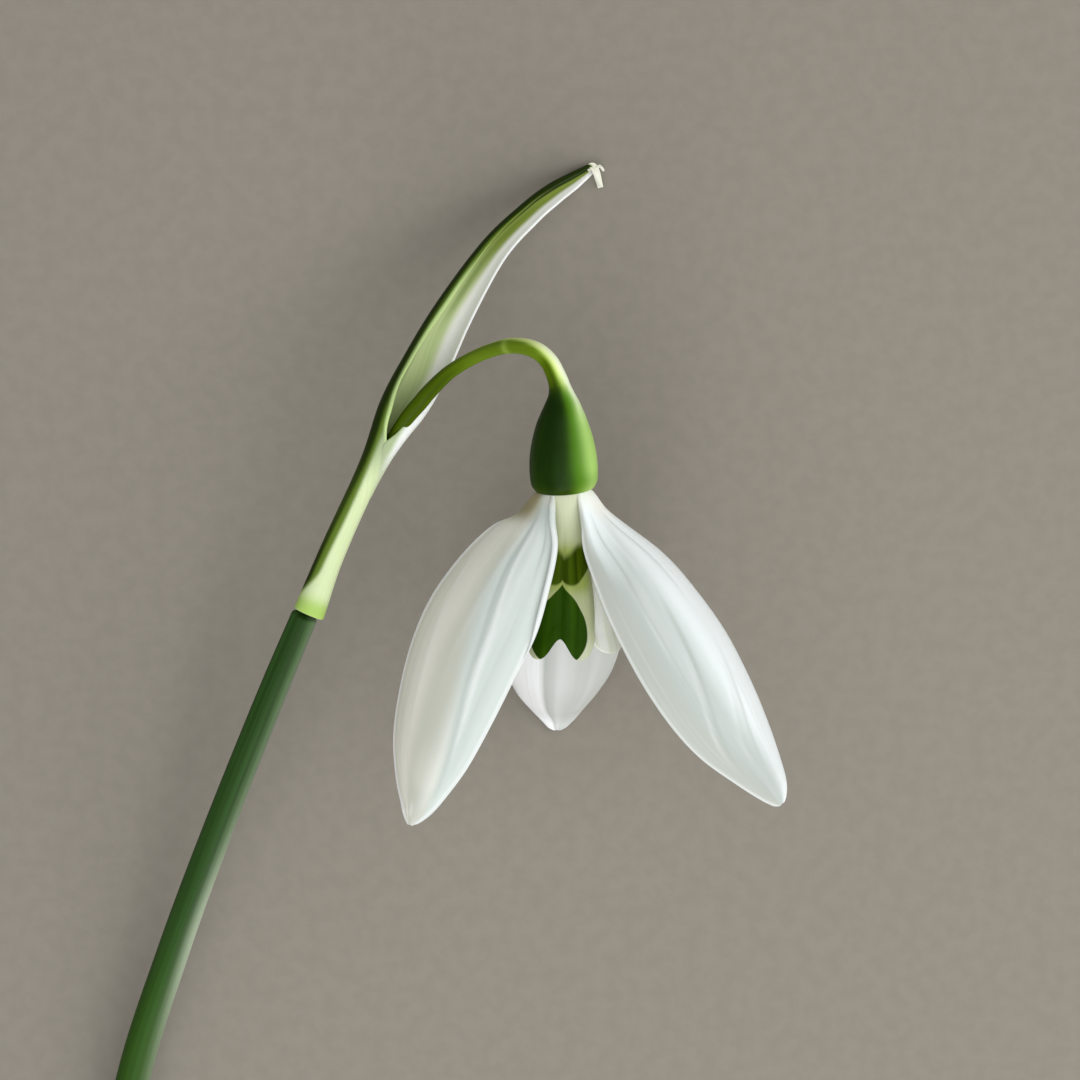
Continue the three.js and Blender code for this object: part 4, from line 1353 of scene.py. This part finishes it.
right_skin = white_petal_skin(
    "white_petal_skin_right", seed=12.0,
    body="#b4bab6", light="#f8ffff", inner="#b2b6ae", shoulder="#f6f7ee",
)
right_petal = outer_petal(
    "outer_petal_right", RIGHT_ROWS, -1, RIGHT_FOLDS, right_skin, (0.05, 0.2), RIGHT_PAINTED_LIGHT, RIGHT_INNER_SHADE,
    claw_light=0.8, tip=(0, 0.14, 0),
)
put_on(right_petal, "outer_petal", "outer_tepal_right")

back_skin = white_petal_skin(
    "white_petal_skin_back", seed=23.0,
    body="#c8cac5", light="#ffffff", inner="#c8cac5", shoulder="#f0f1e6",
)
back_petal = outer_petal(
    "outer_petal_back", BACK_ROWS, 1, BACK_FOLDS, back_skin, (-0.1, -0.1), BACK_PAINTED_LIGHT, RIGHT_INNER_SHADE,
    floor=PETAL_THICK / 2,
)
put_on(back_petal, "outer_petal", "outer_tepal_back")

inner_skins = [marked_petal_skin(), lined_petal_skin()]
front_inner = inner_petal("inner_petal_front", -2, (1.2, 1.0), inner_skins, lean=-4, mark_widths=(1.2, 0.95))
put_on(front_inner, "inner_petal", "inner_tepal_front")
right_inner = inner_petal(
    "inner_petal_right", 118, (1.8, 1.1), inner_skins, cup_change=-0.14, green=0.1, bow=0.9
)
put_on(right_inner, "inner_petal", "inner_tepal_right")
left_inner = inner_petal("inner_petal_left", -125, (1.1, 1.4), inner_skins, cup_change=-0.12, green=0.2)
put_on(left_inner, "inner_petal", "inner_tepal_left")

pollen = dusty_pollen_sacs()
for number in range(1, STAMEN_COUNT + 1):
    stamen(number, pollen)
style()


# Table, light and camera

def table_top():
    mesh = bmesh.new()
    bmesh.ops.create_grid(mesh, x_segments=1, y_segments=1, size=TABLE_HALF_WIDTH)
    table = finish_mesh("table_top", mesh, [painted_board()], smooth=False)


def soft_box(name, place_mm, size_mm, watts, colour):
    lamp = bpy.data.lights.new(name, "AREA")
    lamp.shape = "RECTANGLE"
    lamp.size, lamp.size_y = size_mm[0] * MM, size_mm[1] * MM
    lamp.energy = watts
    lamp.color = linear(colour)[:3]
    holder = bpy.data.objects.new(name, lamp)
    holder.location = Vector(place_mm) * MM
    towards = Vector(LAMP_AIM) - Vector(place_mm)
    holder.rotation_euler = towards.to_track_quat("-Z", "Y").to_euler()
    bpy.context.scene.collection.objects.link(holder)


def studio():
    world = bpy.data.worlds.new("studio_air")
    bpy.context.scene.world = world
    world.use_nodes = True
    air = world.node_tree.nodes["Background"]
    air.inputs["Color"].default_value = linear(AIR_COLOUR)
    air.inputs["Strength"].default_value = AIR_STRENGTH
    for lamp in LAMPS:
        soft_box(*lamp)
    bpy.context.scene.view_settings.view_transform = "Standard"


def camera():
    lens = bpy.data.cameras.new("camera")
    lens.sensor_width = SENSOR_WIDTH
    lens.lens = SENSOR_WIDTH * CAMERA_DISTANCE * PIXELS_PER_MM / PHOTO_PIXELS
    lens.clip_start = NEAREST_IN_VIEW * MM
    holder = bpy.data.objects.new("camera", lens)
    holder.location = in_frame((0, 0, FLOWER_HEIGHT + CAMERA_DISTANCE))
    bpy.context.scene.collection.objects.link(holder)
    bpy.context.scene.camera = holder


table_top()
studio()
camera()
